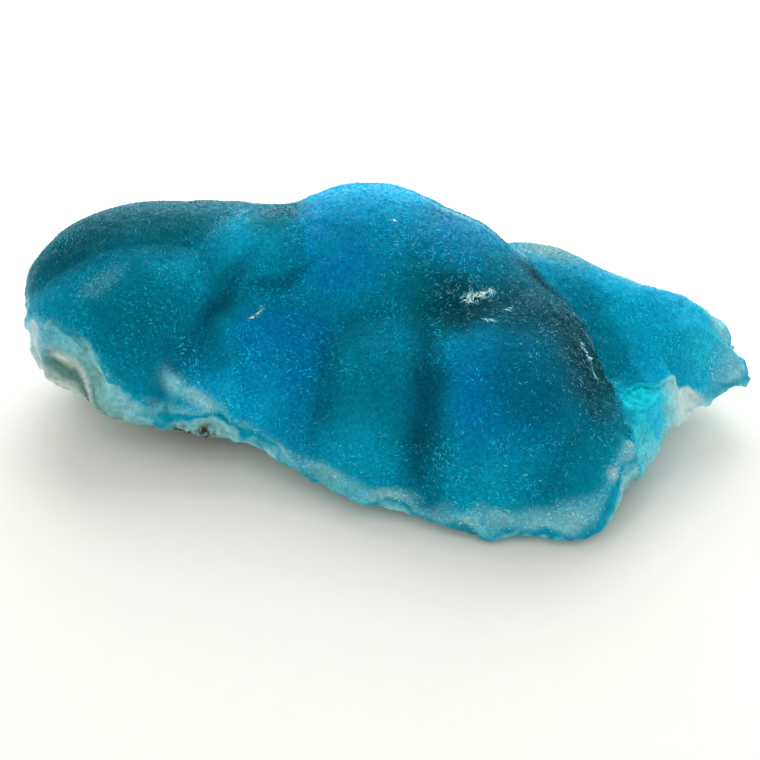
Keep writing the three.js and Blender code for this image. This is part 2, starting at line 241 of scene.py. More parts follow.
# Direction, share of the wavelength and phase of each wave.
WAVES = (
    ((0.8, 0.5, 0.3), 1, 0.4),
    ((-0.4, 0.9, 0.2), 0.83, 2.1),
    ((0.2, -0.3, 0.9), 1.21, 4),
    ((0.7, -0.6, -0.4), 0.71, 5.3),
    ((-0.5, -0.2, 0.8), 1.36, 1.2),
)
WAVE_SUM = 3

# A lobe's seat is looked for down from this height in these steps. The surface's slope there is
# taken over a longer one.
SEAT_FROM = 25
SEAT_STEP = 0.025
SEAT_SLOPE_STEP = 0.3

# The line that the skin's rays leave, how far they reach along each axis, the steps along a ray,
# and the halvings that follow.
SPINE = np.array([[-17, 4.5, 5.5], [17, -2, 5]])
REACH = np.array([16, 18, 17])
MARCH_STEPS = 26
HALVINGS = 8
# How far a point moves to its neighbours' middle in a round, and the step for the slope.
RELAX_SHARE = 0.6
SLOPE_STEP = 0.04
# Keeps a division from failing where a length is zero.
TINY = 1e-9


def profile(points, at):
    """Value of a profile at each place: straight between its points and flat past its ends."""
    xs, values = zip(*points)
    return np.interp(at, xs, values)


def soft_min(distances, blend):
    """Rounded minimum down the first axis: minus the logarithm of the summed exponentials."""
    least = distances.min(0)
    return least - blend * np.log(np.exp((least - distances) / blend).sum(0))


def soft_max(a, b, blend):
    """Rounded maximum of two: a straight mix over the blend, plus a parabola for the corner."""
    h = np.clip(0.5 + 0.5 * (a - b) / blend, 0, 1)
    return b + (a - b) * h + blend * h * (1 - h)


def smooth_step(low, high, value):
    """0 up to low, 1 from high, and the cubic 3t2 - 2t3 between."""
    t = np.clip((value - low) / (high - low), 0, 1)
    return t * t * (3 - 2 * t)


def outline_distance(outline, points):
    """Signed distance in plan to a closed outline, negative inside: the least distance to its
    edges, with the sign flipped for each edge that a line to the right crosses."""
    corners = np.array(outline, float)
    x, y = points[:, 0], points[:, 1]
    nearest = np.full(len(points), np.inf)
    inside = np.zeros(len(points), bool)
    for (ax, ay), (bx, by) in zip(corners, np.roll(corners, -1, 0)):
        ex, ey = bx - ax, by - ay
        t = np.clip(((x - ax) * ex + (y - ay) * ey) / (ex * ex + ey * ey), 0, 1)
        nearest = np.minimum(nearest, np.hypot(x - ax - t * ex, y - ay - t * ey))
        if ey:
            inside ^= ((ay > y) != (by > y)) & (x - ax < ex * (y - ay) / ey)
    return np.where(inside, -nearest, nearest)


def ellipsoid_distance(ellipsoid, points):
    """Distance to first order: the scaled radius less one, over that radius's slope."""
    centre, rows = ellipsoid
    scaled = (points - centre) @ rows.T
    radius = np.linalg.norm(scaled, axis=1) + TINY
    slope = np.linalg.norm(scaled @ rows, axis=1) / radius + TINY
    return (radius - 1) / slope


def block_distance(block, halves, points):
    """Distance to a block with chamfered edges: the rounded maximum over its three pairs of
    faces."""
    centre, rows = block
    beyond = (np.abs((points - centre) @ rows.T) - 1) * np.array(halves)
    return soft_max(soft_max(beyond[:, 0], beyond[:, 1], HEEL_BLEND), beyond[:, 2], HEEL_BLEND)


def mass_ellipsoid(form):
    """A mass as its centre and its three axes, each divided by its radius."""
    turn, tilt = math.radians(form.turn), math.radians(form.tilt)
    axes = np.array([
        [math.cos(turn), math.sin(turn), 0],
        [-math.sin(turn) * math.cos(tilt), math.cos(turn) * math.cos(tilt), math.sin(tilt)],
        [math.sin(turn) * math.sin(tilt), -math.cos(turn) * math.sin(tilt), math.cos(tilt)],
    ])
    return np.array(form.at, float), axes / np.array(form.radii, float)[:, None]


BODY_ELLIPSOIDS = [mass_ellipsoid(form) for form in BODY_MASSES]
WING_ELLIPSOIDS = [mass_ellipsoid(form) for form in WING_MASSES]
HEEL_BOX = mass_ellipsoid(HEEL_BLOCK)


def break_roughness(points):
    """Sum of plane sine waves in five directions, at each wavelength and height."""
    height = np.zeros(len(points))
    for length, amount in BREAK_WAVES:
        for along, share, phase in WAVES:
            direction = np.array(along) / np.linalg.norm(along)
            height += np.sin(2 * np.pi * (points @ direction) / (length * share) + phase) * amount
    return height / WAVE_SUM


def rim_top(points):
    """Height of the crust's edge: the rim is thin in front and rises towards the back."""
    x, y, _ = points.T
    behind = np.maximum(y - profile(FRONT_RIM_Y, x) - BACK_START, 0)
    return profile(RIM_LIFT, x) + profile(RIM_HEIGHT, x) + BACK_SLOPE * behind


def roll_height(inward, width, rise):
    """Height of the roll over the rim: it rises with distance in from the rim as a
    superellipse's quarter, and falls away steeply outside."""
    share = np.clip(inward / width, 0, 1)
    arc = (1 - (1 - share) ** ROLL_ROUNDNESS) ** (1 / ROLL_ROUNDNESS)
    return rise * arc + ROLL_FALL * np.minimum(inward, 0)


def roll_distance(points, rim):
    """Height above the roll that takes the crust down to the rim, scaled to a distance."""
    roll = roll_height(-ROLL_INSET - rim, ROLL_WIDTH, ROLL_RISE)
    return (points[:, 2] - rim_top(points) - roll) * ROLL_SCALE


def plain_body(points, rim=None):
    """The body before its lobes: its masses merged, under the roll."""
    rim = outline_distance(BODY_OUTLINE, points) if rim is None else rim
    masses = np.array([ellipsoid_distance(each, points) for each in BODY_ELLIPSOIDS])
    merged = soft_min(masses, MASS_BLEND)
    return soft_max(merged, roll_distance(points, rim), ROLL_BLEND)


def slope_of(field, points, step):
    """Value and slope of a field at each point, by steps along the three axes."""
    value = field(points)
    ahead = [(field(points + step * axis) - value) / step for axis in np.eye(3)]
    return value, np.stack(ahead, 1)


def seated_lobe(form):
    """A lobe's ellipsoid, laid on the plain body: its centre is sunk along the surface's normal
    until only its rise stands proud."""
    heights = np.arange(SEAT_FROM, 0, -SEAT_STEP)
    column = np.column_stack([np.full((len(heights), 2), form.at), heights])
    seat = column[np.argmax(plain_body(column) <= 0)]
    _, normal = slope_of(plain_body, seat[None], SEAT_SLOPE_STEP)
    normal = normal[0] / np.linalg.norm(normal[0])
    turn = math.radians(form.turn)
    along = np.array([math.cos(turn), math.sin(turn), 0])
    along -= normal * (along @ normal)
    along /= np.linalg.norm(along)
    axes = np.array([along, np.cross(normal, along), normal])
    return seat + normal * (form.rise - form.radii[2]), axes / np.array(form.radii, float)[:, None]


LOBE_ELLIPSOIDS = [seated_lobe(form) for form in LOBES]


def body_fields(points, edge_blend, crease_depth):
    """The body's distances: to its lobes, its crust, its broken wall, its underside and the
    whole. A crease is cut where the two nearest lobes are equally near."""
    x, y, z = points.T
    rim = outline_distance(BODY_OUTLINE, points)
    lobes = np.array([ellipsoid_distance(each, points) for each in LOBE_ELLIPSOIDS])
    first, second = np.partition(lobes, 1, axis=0)[:2]
    apart = second - first + np.maximum(first, 0)
    lobed = soft_min(np.vstack([plain_body(points, rim)[None], lobes]), LOBE_BLEND)
    lobed += crease_depth * np.exp(-apart / CREASE_WIDTH)
    crust = soft_max(lobed, roll_distance(points, rim) - LOBE_PROUD_OF_ROLL, LOBE_ROLL_BLEND)
    lean = profile(WALL_LEAN_BY_Y, y) * profile(WALL_LEAN_BY_X, x)
    leaned = lean * (np.minimum(z, rim_top(points)) - WALL_LEAN_FROM)
    wall = (rim + leaned) * WALL_SCALE + break_roughness(points)
    share = np.clip(1 + rim / UNDERSIDE_BAND, 0, UNDERSIDE_MOST)
    under = profile(RIM_LIFT, x) * share * share - z
    whole = soft_max(soft_max(crust, wall, edge_blend), under, edge_blend)
    return SimpleNamespace(
        lobes=lobes, apart=apart, crust=crust, wall=wall, under=under, whole=whole
    )


def wing_fields(points, edge_blend):
    """The wing's distances: to its crust, its broken wall and its underside. It is a thin
    sheet that rolls down to its rim, with a block left standing on its heel."""
    x, y, z = points.T
    rim = outline_distance(WING_OUTLINE, points)
    masses = np.array([ellipsoid_distance(each, points) for each in WING_ELLIPSOIDS])
    sheet = soft_min(masses, WING_BLEND)
    underside = profile(WING_UNDERSIDE, x)
    roll = roll_height(-ROLL_INSET - rim, WING_ROLL_WIDTH, WING_ROLL_RISE)
    roll = (z - underside - profile(WING_RIM_HEIGHT_BY_Y, y) - roll) * ROLL_SCALE
    sheet = soft_max(sheet, roll, WING_ROLL_BLEND)
    heel = block_distance(HEEL_BOX, HEEL_BLOCK.radii, points)
    crust = soft_min(np.array([sheet, heel]), JOIN_BLEND)
    lean = profile(WING_LEAN_BY_Y, y)
    leaned = lean * np.maximum(z - WING_LEAN_FROM, 0)
    flaked = np.minimum(-outline_distance(HEEL_FLAKE, points), crust + HEEL_FLAKE_DEPTH)
    wall = np.maximum((rim + leaned) * WING_WALL_SCALE + break_roughness(points), flaked)
    under = underside - z
    whole = soft_max(soft_max(crust, wall, edge_blend), under, edge_blend)
    return SimpleNamespace(crust=crust, wall=wall, under=under, whole=whole)


def stone_distance(points, sizes):
    """Distance to the whole stone, cut flat where it rests."""
    body = body_fields(points, sizes.edge_blend, sizes.crease_depth).whole
    wing = wing_fields(points, sizes.edge_blend).whole
    joined = soft_min(np.array([body, wing]), JOIN_BLEND)
    return soft_max(joined, -points[:, 2], REST_BLEND)


# ------------------------------------------------------------------ the stone's skin

def cube_sphere(cells):
    """Unit sphere as six square grids: each cube face at equal angles, pushed out to radius 1.
    Returns the points and the quads, with the edges' points shared."""
    angle = np.tan(np.linspace(-np.pi / 4, np.pi / 4, cells + 1))
    i, j = np.meshgrid(np.arange(cells + 1), np.arange(cells + 1), indexing="ij")
    keys, places, quads = [], [], []
    for axis in range(3):
        for side in (0, cells):
            index = [None] * 3
            index[axis] = np.full_like(i, side)
            index[(axis + 1) % 3], index[(axis + 2) % 3] = i, j
            key = (index[0] * (cells + 1) + index[1]) * (cells + 1) + index[2]
            ring = np.stack([key[:-1, :-1], key[1:, :-1], key[1:, 1:], key[:-1, 1:]], -1)
            keys.append(key.ravel())
            places.append(np.stack([angle[k].ravel() for k in index], -1))
            quads.append(ring.reshape(-1, 4)[:, :: -1 if side == 0 else 1])
    unique, first = np.unique(np.concatenate(keys), return_index=True)
    points = np.concatenate(places)[first]
    points /= np.linalg.norm(points, axis=1, keepdims=True)
    return points, np.searchsorted(unique, np.concatenate(quads))


def cast_out(directions, field):
    """Outermost point of the stone on the ray that leaves the spine in each direction: steps
    from outside to the first point within, then halvings."""
    share = (directions[:, :1] + 1) / 2
    start = SPINE[0] + (SPINE[1] - SPINE[0]) * share
    ray = directions * REACH
    inner = np.zeros(len(ray))
    open_ray = np.ones(len(ray), bool)
    for step in range(MARCH_STEPS, 0, -1):
        t = step / MARCH_STEPS
        within = field(start[open_ray] + ray[open_ray] * t) < 0
        found = np.nonzero(open_ray)[0][within]
        inner[found] = t
        open_ray[found] = False
    outer = inner + 1 / MARCH_STEPS
    for _ in range(HALVINGS):
        middle = (inner + outer) / 2
        within = field(start + ray * middle[:, None]) < 0
        inner = np.where(within, middle, inner)
        outer = np.where(within, outer, middle)
    return start + ray * ((inner + outer) / 2)[:, None]


def relax(points, quads, field, rounds):
    """Evens the mesh out: each point moves part of the way to its neighbours' middle, then back
    along the field's slope onto the surface."""
    start = quads.ravel()
    end = np.roll(quads, -1, 1).ravel()
    count = np.bincount(start, minlength=len(points))
    for _ in range(rounds):
        sums = [np.bincount(start, points[end, axis], minlength=len(points)) for axis in range(3)]
        middle = np.stack(sums, 1) / count[:, None]
        points = points + RELAX_SHARE * (middle - points)
        value, slope = slope_of(field, points, SLOPE_STEP)
        off = np.clip(value, -1, 1) / ((slope * slope).sum(1) + 1e-3)
        points = points - slope * off[:, None]
    return points


def vertex_normals(points, quads):
    """Unit normal of each point: the sum of its quads' diagonal cross products."""
    first = points[quads[:, 2]] - points[quads[:, 0]]
    second = points[quads[:, 3]] - points[quads[:, 1]]
    face = np.repeat(np.cross(first, second), 4, axis=0)
    sums = [np.bincount(quads.ravel(), face[:, axis], minlength=len(points)) for axis in range(3)]
    normal = np.stack(sums, 1)
    return normal / np.linalg.norm(normal, axis=1, keepdims=True)


# Large odd numbers that a cell's coordinates and a seed are multiplied by, the shifts and
# factors that stir them, and the bits of the result that count.
CELL_FACTORS = np.array([73856093, 19349663, 83492791], np.uint64)
SEED_FACTOR = 2654435761
STIRS = ((15, 2246822519), (13, 3266489917))
BITS_FROM = 20
BITS = 24


def lattice_random(cells, seed):
    """A fixed random number from 0 to 1 for each whole-numbered cell: its coordinates times
    large odd numbers, stirred by shifts."""
    whole = cells.astype(np.int64).astype(np.uint64)
    mixed = (whole * CELL_FACTORS).sum(-1) + np.uint64(seed * SEED_FACTOR)
    for shift, factor in STIRS:
        mixed = (mixed ^ (mixed >> np.uint64(shift))) * np.uint64(factor)
    kept = (mixed >> np.uint64(BITS_FROM)) & np.uint64(2**BITS - 1)
    return kept.astype(float) / 2**BITS


def random_vector(cells, seed):
    """Three such numbers side by side, with seeds that follow one another."""
    return np.stack([lattice_random(cells, seed + axis) for axis in range(3)], 1)


def value_noise(points, size, seed):
    """Smooth noise from -1 to 1: random values on a lattice of this size, mixed by cubics."""
    scaled = points / size
    cell = np.floor(scaled)
    t = scaled - cell
    t = t * t * (3 - 2 * t)
    total = np.zeros(len(points))
    for corner in np.ndindex(2, 2, 2):
        share = np.prod(np.where(corner, t, 1 - t), axis=1)
        total += share * lattice_random(cell + corner, seed)
    return 2 * total - 1


def noise_vector(points, size, seed):
    """Three such noises side by side, with seeds that follow one another."""
    return np.stack([value_noise(points, size, seed + axis) for axis in range(3)], 1)


def noise_sum(points, rows):
    """Sum of noises, each with its size in millimetres, its seed and its height."""
    return sum(value_noise(points, size, seed) * height for size, seed, height in rows)


def facets(points, size, seed):
    """Relief of a hackly break, from about -1 to 1: each point takes the tilted plane of the
    nearest of the random seeds that are scattered one to a cell."""
    cell = np.floor(points / size)
    nearest = np.full(len(points), np.inf)
    height = np.zeros(len(points))
    for offset in np.ndindex(3, 3, 3):
        home = cell + np.array(offset) - 1
        away = points - (home + random_vector(home, seed)) * size
        distance = (away * away).sum(1)
        tilt = random_vector(home, seed + 3) * 2 - 1
        closer = distance < nearest
        nearest = np.where(closer, distance, nearest)
        height = np.where(closer, (away * tilt).sum(1) / size, height)
    return height * 2


# Over how many millimetres the body's marks fade into the wing's, and the crust into a break.
WING_FADE = (-0.4, 0.4)
BREAK_FADE = (-0.1, 0.14)
# How wide a crease's painted shade is.
CREASE_SHADE_WIDTH = 1.1
# Behind the shoulder the body's wall meets the wing. It grew there, so it isn't broken and counts
# as deep inside the rim.
SHELTER_X = (11.5, 13)
SHELTER_Y = (-9.5, -8)
DEEP_INSIDE = 20


def stone_marks(points, sizes):
    """What each point of the skin belongs to: its distances to the lobes, how much is wing and
    how much is broken, its depth under the crust, its distance from the rim, in from the wall
    and up, and how much of it is crease, which takes painted shade."""
    body = body_fields(points, sizes.edge_blend, sizes.crease_depth)
    wing = wing_fields(points, sizes.edge_blend)
    on_wing = smooth_step(*WING_FADE, body.whole - wing.whole)
    is_wing = on_wing > 0.5
    crust = np.where(is_wing, wing.crust, body.crust)
    wall = np.where(is_wing, wing.wall, body.wall)
    under = np.where(is_wing, wing.under, body.under)
    x, y, z = points.T
    wing_rim = profile(WING_UNDERSIDE, x) + profile(WING_RIM_HEIGHT_BY_Y, y)
    above = z - np.where(is_wing, wing_rim, rim_top(points))
    sheltered = smooth_step(*SHELTER_X, x) * smooth_step(*SHELTER_Y, y) * (1 - on_wing)
    return SimpleNamespace(
        lobes=body.lobes,
        on_wing=on_wing,
        is_wing=is_wing,
        broken=smooth_step(*BREAK_FADE, np.maximum(wall, under) - crust) * (1 - sheltered),
        depth=np.maximum(-crust, 0),
        from_rim=np.hypot(np.maximum(-wall, 0), np.maximum(above, 0)) + DEEP_INSIDE * sheltered,
        crease=np.exp(-body.apart / CREASE_SHADE_WIDTH) * (1 - on_wing),
    )


# Patches of colour on the crust, seen from above: place, radii, turn, colour and strength. Those
# in the crease's shade colour are painted shade, mostly in hollows and creases; the darkest ones
# are painted shade over thick crust on the dark band by the right lobe, the shoulder and the back
# band.
PATCHES = (
    ((-24.5, 6.5), (3.0, 4.2), -50, "night", 0.45),
    ((-12.0, 9.6), (5.0, 2.6), 0, "teal", 0.5),
    ((-8.6, 7.4), (2.8, 3.6), 0, "dark_teal", 0.85),
    ((-5.2, 6.6), (1.4, 3.2), 0, "bright_blue", 0.6),
    ((-19.4, -1.6), (3.6, 2.2), 0, "shade", 0.2),
    ((-13.2, 0.4), (3.6, 1.2), 35, "shade", 0.8),
    ((-13.8, -2.2), (2.0, 1.5), 20, "shade", 0.5),
    ((-22.8, 1.8), (1.6, 0.8), 10, "layer_green", 0.15),
    ((-10.8, -5.0), (2.0, 1.6), -20, "azure", 0.7),
    ((-10.2, -2.4), (1.4, 2.4), 0, "bright_blue", 0.6),
    ((-8.4, 1.0), (3.4, 0.5), 16, "shade", 0.6),
    ((-4.6, -5.4), (1.1, 3.6), -6, "shade", 0.4),
    ((-1.8, -2.8), (5.0, 2.0), 8, "shade", 0.35),
    ((-2.6, -9.2), (3.4, 1.8), -10, "round_sea", 0.65),
    ((3.2, -7.6), (1.7, 5.6), 0, "shade", 0.85),
    ((6.4, -1.9), (4.4, 2.5), -12, "night", 1.0),
    ((11.4, -1.4), (4.0, 2.8), -25, "night", 0.75),
    ((13.2, 4.6), (2.8, 3.8), -30, "night", 1.0),
    ((15.6, -3.6), (2.4, 5.8), 12, "night", 1.0),
    ((7.4, 3.2), (4.4, 2.6), -28, "dark_teal", 0.45),
    ((8.2, -13.0), (1.1, 0.8), 0, "rim_cyan", 0.9),
    ((17.4, -12.0), (0.5, 0.5), 0, "frost", 0.5),
    ((5.4, 8.4), (2.8, 0.5), -32, "pale", 0.5),
)
# The same on the wing. Its two teal patches darken it where it meets the body: painted shade.
WING_PATCHES = (
    ((16.0, 1.6), (2.0, 5.0), 28, "teal", 0.8),
    ((19.2, -2.6), (1.6, 2.4), 30, "teal", 0.6),
    ((13.6, 8.4), (3.6, 1.8), -20, "earth", 0.75),
    ((17.8, 7.4), (3.4, 1.2), -24, "layer_green", 0.6),
    ((25.8, 0.2), (2.6, 2.8), 0, "glow", 0.55),
    ((27.2, 3.4), (0.9, 1.8), 40, "pale", 0.8),
    ((28.4, -0.3), (1.6, 1.3), 0, "pale", 0.9),
)
# The same on the freshly broken face of the wing's heel.
HEEL_PATCHES = (
    ((21.4, -5.6), (1.7, 1.5), 0, "glow", 0.6),
    ((22.8, -4.0), (1.2, 1.2), 20, "pale", 0.6),
    ((18.9, -7.4), (1.0, 1.9), -30, "teal", 0.8),
    ((20.9, -8.2), (1.1, 1.8), -30, "pale", 0.6),
)
# Where white hemimorphite shows at an edge: place, radii, turn and strength.
WHITE_STREAKS = (
    ((-14.2, -5.0), (2.9, 0.45), -22, 0.9),
    ((-16.5, -3.7), (1.0, 0.8), -40, 0.85),
    ((-21.8, -3.9), (1.6, 0.3), -42, 0.5),
    ((5.8, -13.6), (2.0, 0.25), -10, 0.4),
    ((12.1, -14.0), (0.9, 0.35), 0, 0.4),
)
# White patches on the broken faces of the left end and the heel.
BROKEN_WHITE = (
    ((24.4, -2.6), (1.9, 1.6), 20, 1.3),
    ((-28.6, 1.6), (0.9, 1.8), 10, 0.8),
)
# A patch is a bell: the exponential of minus this many times the squared scaled distance, raised
# to a power that makes its top flatter.
PATCH_FALL = 1.2
PATCH_POWER = 1.4


def patch_share(points, at, radii, turn):
    """How much of a patch covers each point: a bell over its scaled distance in plan."""
    angle = math.radians(turn)
    dx, dy = points[:, 0] - at[0], points[:, 1] - at[1]
    u = (dx * math.cos(angle) + dy * math.sin(angle)) / radii[0]
    v = (dy * math.cos(angle) - dx * math.sin(angle)) / radii[1]
    return np.exp(-PATCH_FALL * (u * u + v * v) ** PATCH_POWER)


def patches(points, rows):
    """The strongest of the patches that cover each point."""
    shares = [patch_share(points, at, radii, turn) * strength for at, radii, turn, strength in rows]
    return np.max(shares, axis=0)


def pole_share(ellipsoid, points, reach):
    """1 at a lobe's pole and 0 towards its foot, by the distance from its axis over its radii."""
    centre, rows = ellipsoid
    along, across, _ = ((points - centre) @ rows.T).T
    return 1 - smooth_step(*reach, np.hypot(along, across))


def lay(tint, share, colour):
    """A tint with a colour laid over it, as much as each point's share from 0 to 1."""
    return tint + (colour - tint) * np.clip(share, 0, 1)[:, None]


def lay_patches(tint, points, rows, colours):
    """A tint with patches of colour laid over it, one after another."""
    for at, radii, turn, name, strength in rows:
        tint = lay(tint, patch_share(points, at, radii, turn) * strength, colours[name])
    return tint


# Size and seed of the noise that bends the patches' outlines, and how far it bends them.
WARP_NOISE = (2.6, 11)
WARP_REACH = 0.7
# How softly one lobe's colour gives way to the next, in millimetres, and where a lobe's colour
# changes from its pole's to its slope's, as a share of its radii.
LOBE_TINT_BLEND = 0.45
POLE_TO_SLOPE = (0.15, 0.95)
# Towards the rim the crust is thinner and lighter, partly its own colour and partly painted glow
# of light through it: over this many millimetres, by this share all round and this much more in
# front, which fades out between these places along Y.
RIM_THINNING_AND_GLOW_WIDTH = 4.0
RIM_THINNING_AND_GLOW = 0.25
FRONT_RIM_THINNING_AND_GLOW = 0.6
FRONT_FADE = (-3, 4)
# Strength of the creases' painted shade and of the thin edge's pale, and the green in that
# edge: its noise's size and seed, its strength and the most of it.
CREASE_PAINTED_SHADE = 0.5
EDGE_PALE = 0.7
EDGE_GREEN_NOISE = (2.2, 74)
EDGE_GREEN = 1.6
EDGE_GREEN_MOST = 0.7


def crust_tint(points, marks, colours):
    """Colour of the crust. Each lobe weighs in by its nearness with its core's colour at its
    pole and its slope's colour towards its foot. Then come the thin rim with its painted glow,
    the creases' painted shade and the patches, some of them painted shade, the same for the
    wing and its heel, and last the thin edge."""
    warped = points + WARP_REACH * noise_vector(points, *WARP_NOISE)
    weights = np.exp(-(marks.lobes - marks.lobes.min(0)) / LOBE_TINT_BLEND)
    weights /= weights.sum(0)
    body = np.zeros((len(points), 3))
    for form, ellipsoid, weight in zip(LOBES, LOBE_ELLIPSOIDS, weights):
        core = pole_share(ellipsoid, warped, POLE_TO_SLOPE)
        body += lay(colours[form.slope], core, colours[form.core]) * weight[:, None]
    front = 1 - smooth_step(*FRONT_FADE, points[:, 1])
    # Painted glow where the crust thins to the rim, stronger in front.
    rim = np.exp(-marks.from_rim / RIM_THINNING_AND_GLOW_WIDTH) * (RIM_THINNING_AND_GLOW + FRONT_RIM_THINNING_AND_GLOW * front)
    body = lay(body, rim, colours["rim_cyan"])
    # Painted shade in the creases.
    body = lay(body, marks.crease * CREASE_PAINTED_SHADE, colours["shade"])
    body = lay_patches(body, warped, PATCHES, colours)

    wing = lay_patches(colours["wing_blue"], warped, WING_PATCHES, colours)
    heel = lay_patches(colours["turquoise"], warped, HEEL_PATCHES, colours)
    wing = lay(wing, heel_share(points, marks), heel)

    tint = lay(body, marks.on_wing, wing)
    edge = thin_edge(points, marks)
    green = np.clip(EDGE_GREEN * value_noise(points, *EDGE_GREEN_NOISE), 0, EDGE_GREEN_MOST)
    tint = lay(tint, edge * EDGE_PALE, colours["pale"])
    tint = lay(tint, edge * green, colours["layer_green"])
    return lay(tint, patches(warped, WHITE_STREAKS), colours["pale"])


# The heel's broken face lies in front of a line in plan: a point on it, its slope along X, and
# the face's fade across it in millimetres.
HEEL_LINE_AT = (22, -2.6)
HEEL_LINE_SLOPE = 0.25
HEEL_LINE_FADE = (-0.8, 0.5)


def heel_share(points, marks):
    """How much each point belongs to the freshly broken face on the wing's heel."""
    x, y, _ = points.T
    in_front = HEEL_LINE_AT[1] - y + HEEL_LINE_SLOPE * (x - HEEL_LINE_AT[0])
    return smooth_step(*HEEL_LINE_FADE, in_front) * marks.on_wing * marks.broken


# Width in millimetres of the pale band along the body's rim, by place along X.
PALE_WIDTH = (
    (-27, 0.3), (-22, 1.0), (-18, 0.9), (-14, 0.6), (-9, 0.45), (-4, 0.65), (1, 0.65), (7, 0.6),
    (12, 0.75), (16, 0.7), (19, 0.4),
)
WING_PALE_WIDTH = 0.35
# How that width wanders: the size, seed and height of each noise.
WIDTH_WANDER = ((3.5, 71, 0.5), (1.2, 75, 0.35))
# Streaks in the band: their length along the rim and height up from it in millimetres, the
# noise's seed, and the share of light that they pass, with how much it varies.
STREAK_SIZE = (3, 0.35)
STREAK_SEED = 72
STREAK_LIGHT = (0.65, 0.8)
# The left end broke through to the host rock. Its layers lie nearly level: they are counted
# down from a height at a place along X, which falls by a slope for each millimetre. They start
# this deep under the crust, and none is shallower than the first. The crust is this thick. The
# left end begins between these places along X.
STRATA_AT_X = -28
STRATA_TOP = 8.9
STRATA_FALL = 0.27
STRATA_START = 1.7
STRATA_FIRST = 2.0
STRATA_CRUST = (1.0, 1.7)
STRATA_X = (-22.5, -25)


def thin_edge(points, marks):
    """How much light comes through the thin edge of the crust: the exponential of minus the
    cubed share of the band's width, in streaks that run along the rim."""
    wander = 1 + noise_sum(points, WIDTH_WANDER)
    width = np.where(marks.is_wing, WING_PALE_WIDTH, profile(PALE_WIDTH, points[:, 0])) * wander
    streaked = np.column_stack([points[:, :2] / STREAK_SIZE[0], marks.from_rim / STREAK_SIZE[1]])
    light, varies = STREAK_LIGHT
    streaks = light + varies * value_noise(streaked, 1, STREAK_SEED)
    return np.clip(np.exp(-((marks.from_rim / width) ** 3)) * streaks, 0, 1)


def layer_depth(points, marks):
    """Depth that picks a broken face's layer: under the crust, or down through the left end's
    strata, which start under the crust there. Also how much of the face is crust itself."""
    x, _, z = points.T
    left = smooth_step(*STRATA_X, x)
    down = STRATA_START + STRATA_TOP - STRATA_FALL * (x - STRATA_AT_X) - z
    in_crust = 1 - smooth_step(*STRATA_CRUST, marks.depth)
    depth = marks.depth + (np.clip(down, STRATA_FIRST, LAYERS_END) - marks.depth) * left
    return depth, left * in_crust


# Iron oxide. A patch on the rock in front: its place and radii in plan, where it fades outwards
# as a share of those, and where it fades upwards. A short vein in the front wall: its place
# along X and up, and its radii. Blotches under the piece: their noise's size and seed, where
# it counts, and the height that they stay below.
RUST_PATCH = ((-15.2, -4.6), (2.8, 1.5))
RUST_PATCH_FADE = (1.4, 0.4)
RUST_PATCH_TOP = (4.0, 3.3)
RUST_VEIN = ((-18.7, 5.2), (0.32, 0.35))
RUST_NOISE = (5.0, 9)
RUST_NOISE_FROM = (0.2, 0.9)
RUST_BELOW = 1.5


def rust_share(points):
    """How much iron has stained each point: the strongest of the patch, the vein, which is a
    bell over its scaled distance, and the blotches."""
    x, y, z = points.T
    (patch_x, patch_y), (radius_x, radius_y) = RUST_PATCH
    (vein_x, vein_z), (vein_width, vein_height) = RUST_VEIN
    outwards = np.hypot((x - patch_x) / radius_x, (y - patch_y) / radius_y)
    patch = smooth_step(*RUST_PATCH_FADE, outwards) * smooth_step(*RUST_PATCH_TOP, z)
    vein = np.exp(-(((x - vein_x) / vein_width) ** 2 + ((z - vein_z) / vein_height) ** 2)) * (y < 0)
    blotches = smooth_step(*RUST_NOISE_FROM, value_noise(points, *RUST_NOISE)) * (z < RUST_BELOW)
    return np.clip(np.max([patch, vein, blotches], axis=0), 0, 1)


# Relief of the grown crust: size, seed and height of each noise, in millimetres.
GROWN_RELIEF = ((1.1, 1, 0.05), (0.55, 2, 0.035))
# Relief of a break: each set of facets has its share of the facets' size, a seed and a share of
# their depth. Ledges follow the layers: their spacing, how far they wander by a noise of this
# size and seed, and their share of the depth.
HACKLY_RELIEF = ((1, 5, 0.5), (0.42, 25, 0.22))
LEDGE_SPACING = 0.9
LEDGE_WANDER = 0.25
LEDGE_NOISE = (1.8, 3)
LEDGE_RELIEF = 0.25
# Heights between which the relief fades in, so that the piece rests flat.
REST_FADE = (0.05, 0.6)


def stone_skin(sizes):
    """Points, quads, normals and marks of the skin, in millimetres on the form's own origin.
    Relief moves each point along its normal: noise on the crust, facets and ledges on a break."""

    def field(points):
        """Distance to the stone at its set sizes."""
        return stone_distance(points, sizes)

    directions, quads = cube_sphere(sizes.cells)
    points = relax(cast_out(directions, field), quads, field, sizes.relax_rounds)
    marks = stone_marks(points, sizes)
    normals = vertex_normals(points, quads)
    hackly = sum(
        facets(points, sizes.facet * share, seed) * height for share, seed, height in HACKLY_RELIEF
    )
    layers = (marks.depth + LEDGE_WANDER * value_noise(points, *LEDGE_NOISE)) / LEDGE_SPACING
    ledges = np.sin(2 * np.pi * layers) * LEDGE_RELIEF
    grown = noise_sum(points, GROWN_RELIEF) * (1 - marks.broken)
    relief = grown + (hackly + ledges) * sizes.facet_depth * marks.broken
    relief *= smooth_step(*REST_FADE, points[:, 2])
    points = points + normals * relief[:, None]
    points[:, 2] = np.maximum(points[:, 2], 0)
    return SimpleNamespace(
        points=points, quads=quads, normals=vertex_normals(points, quads), marks=marks
    )


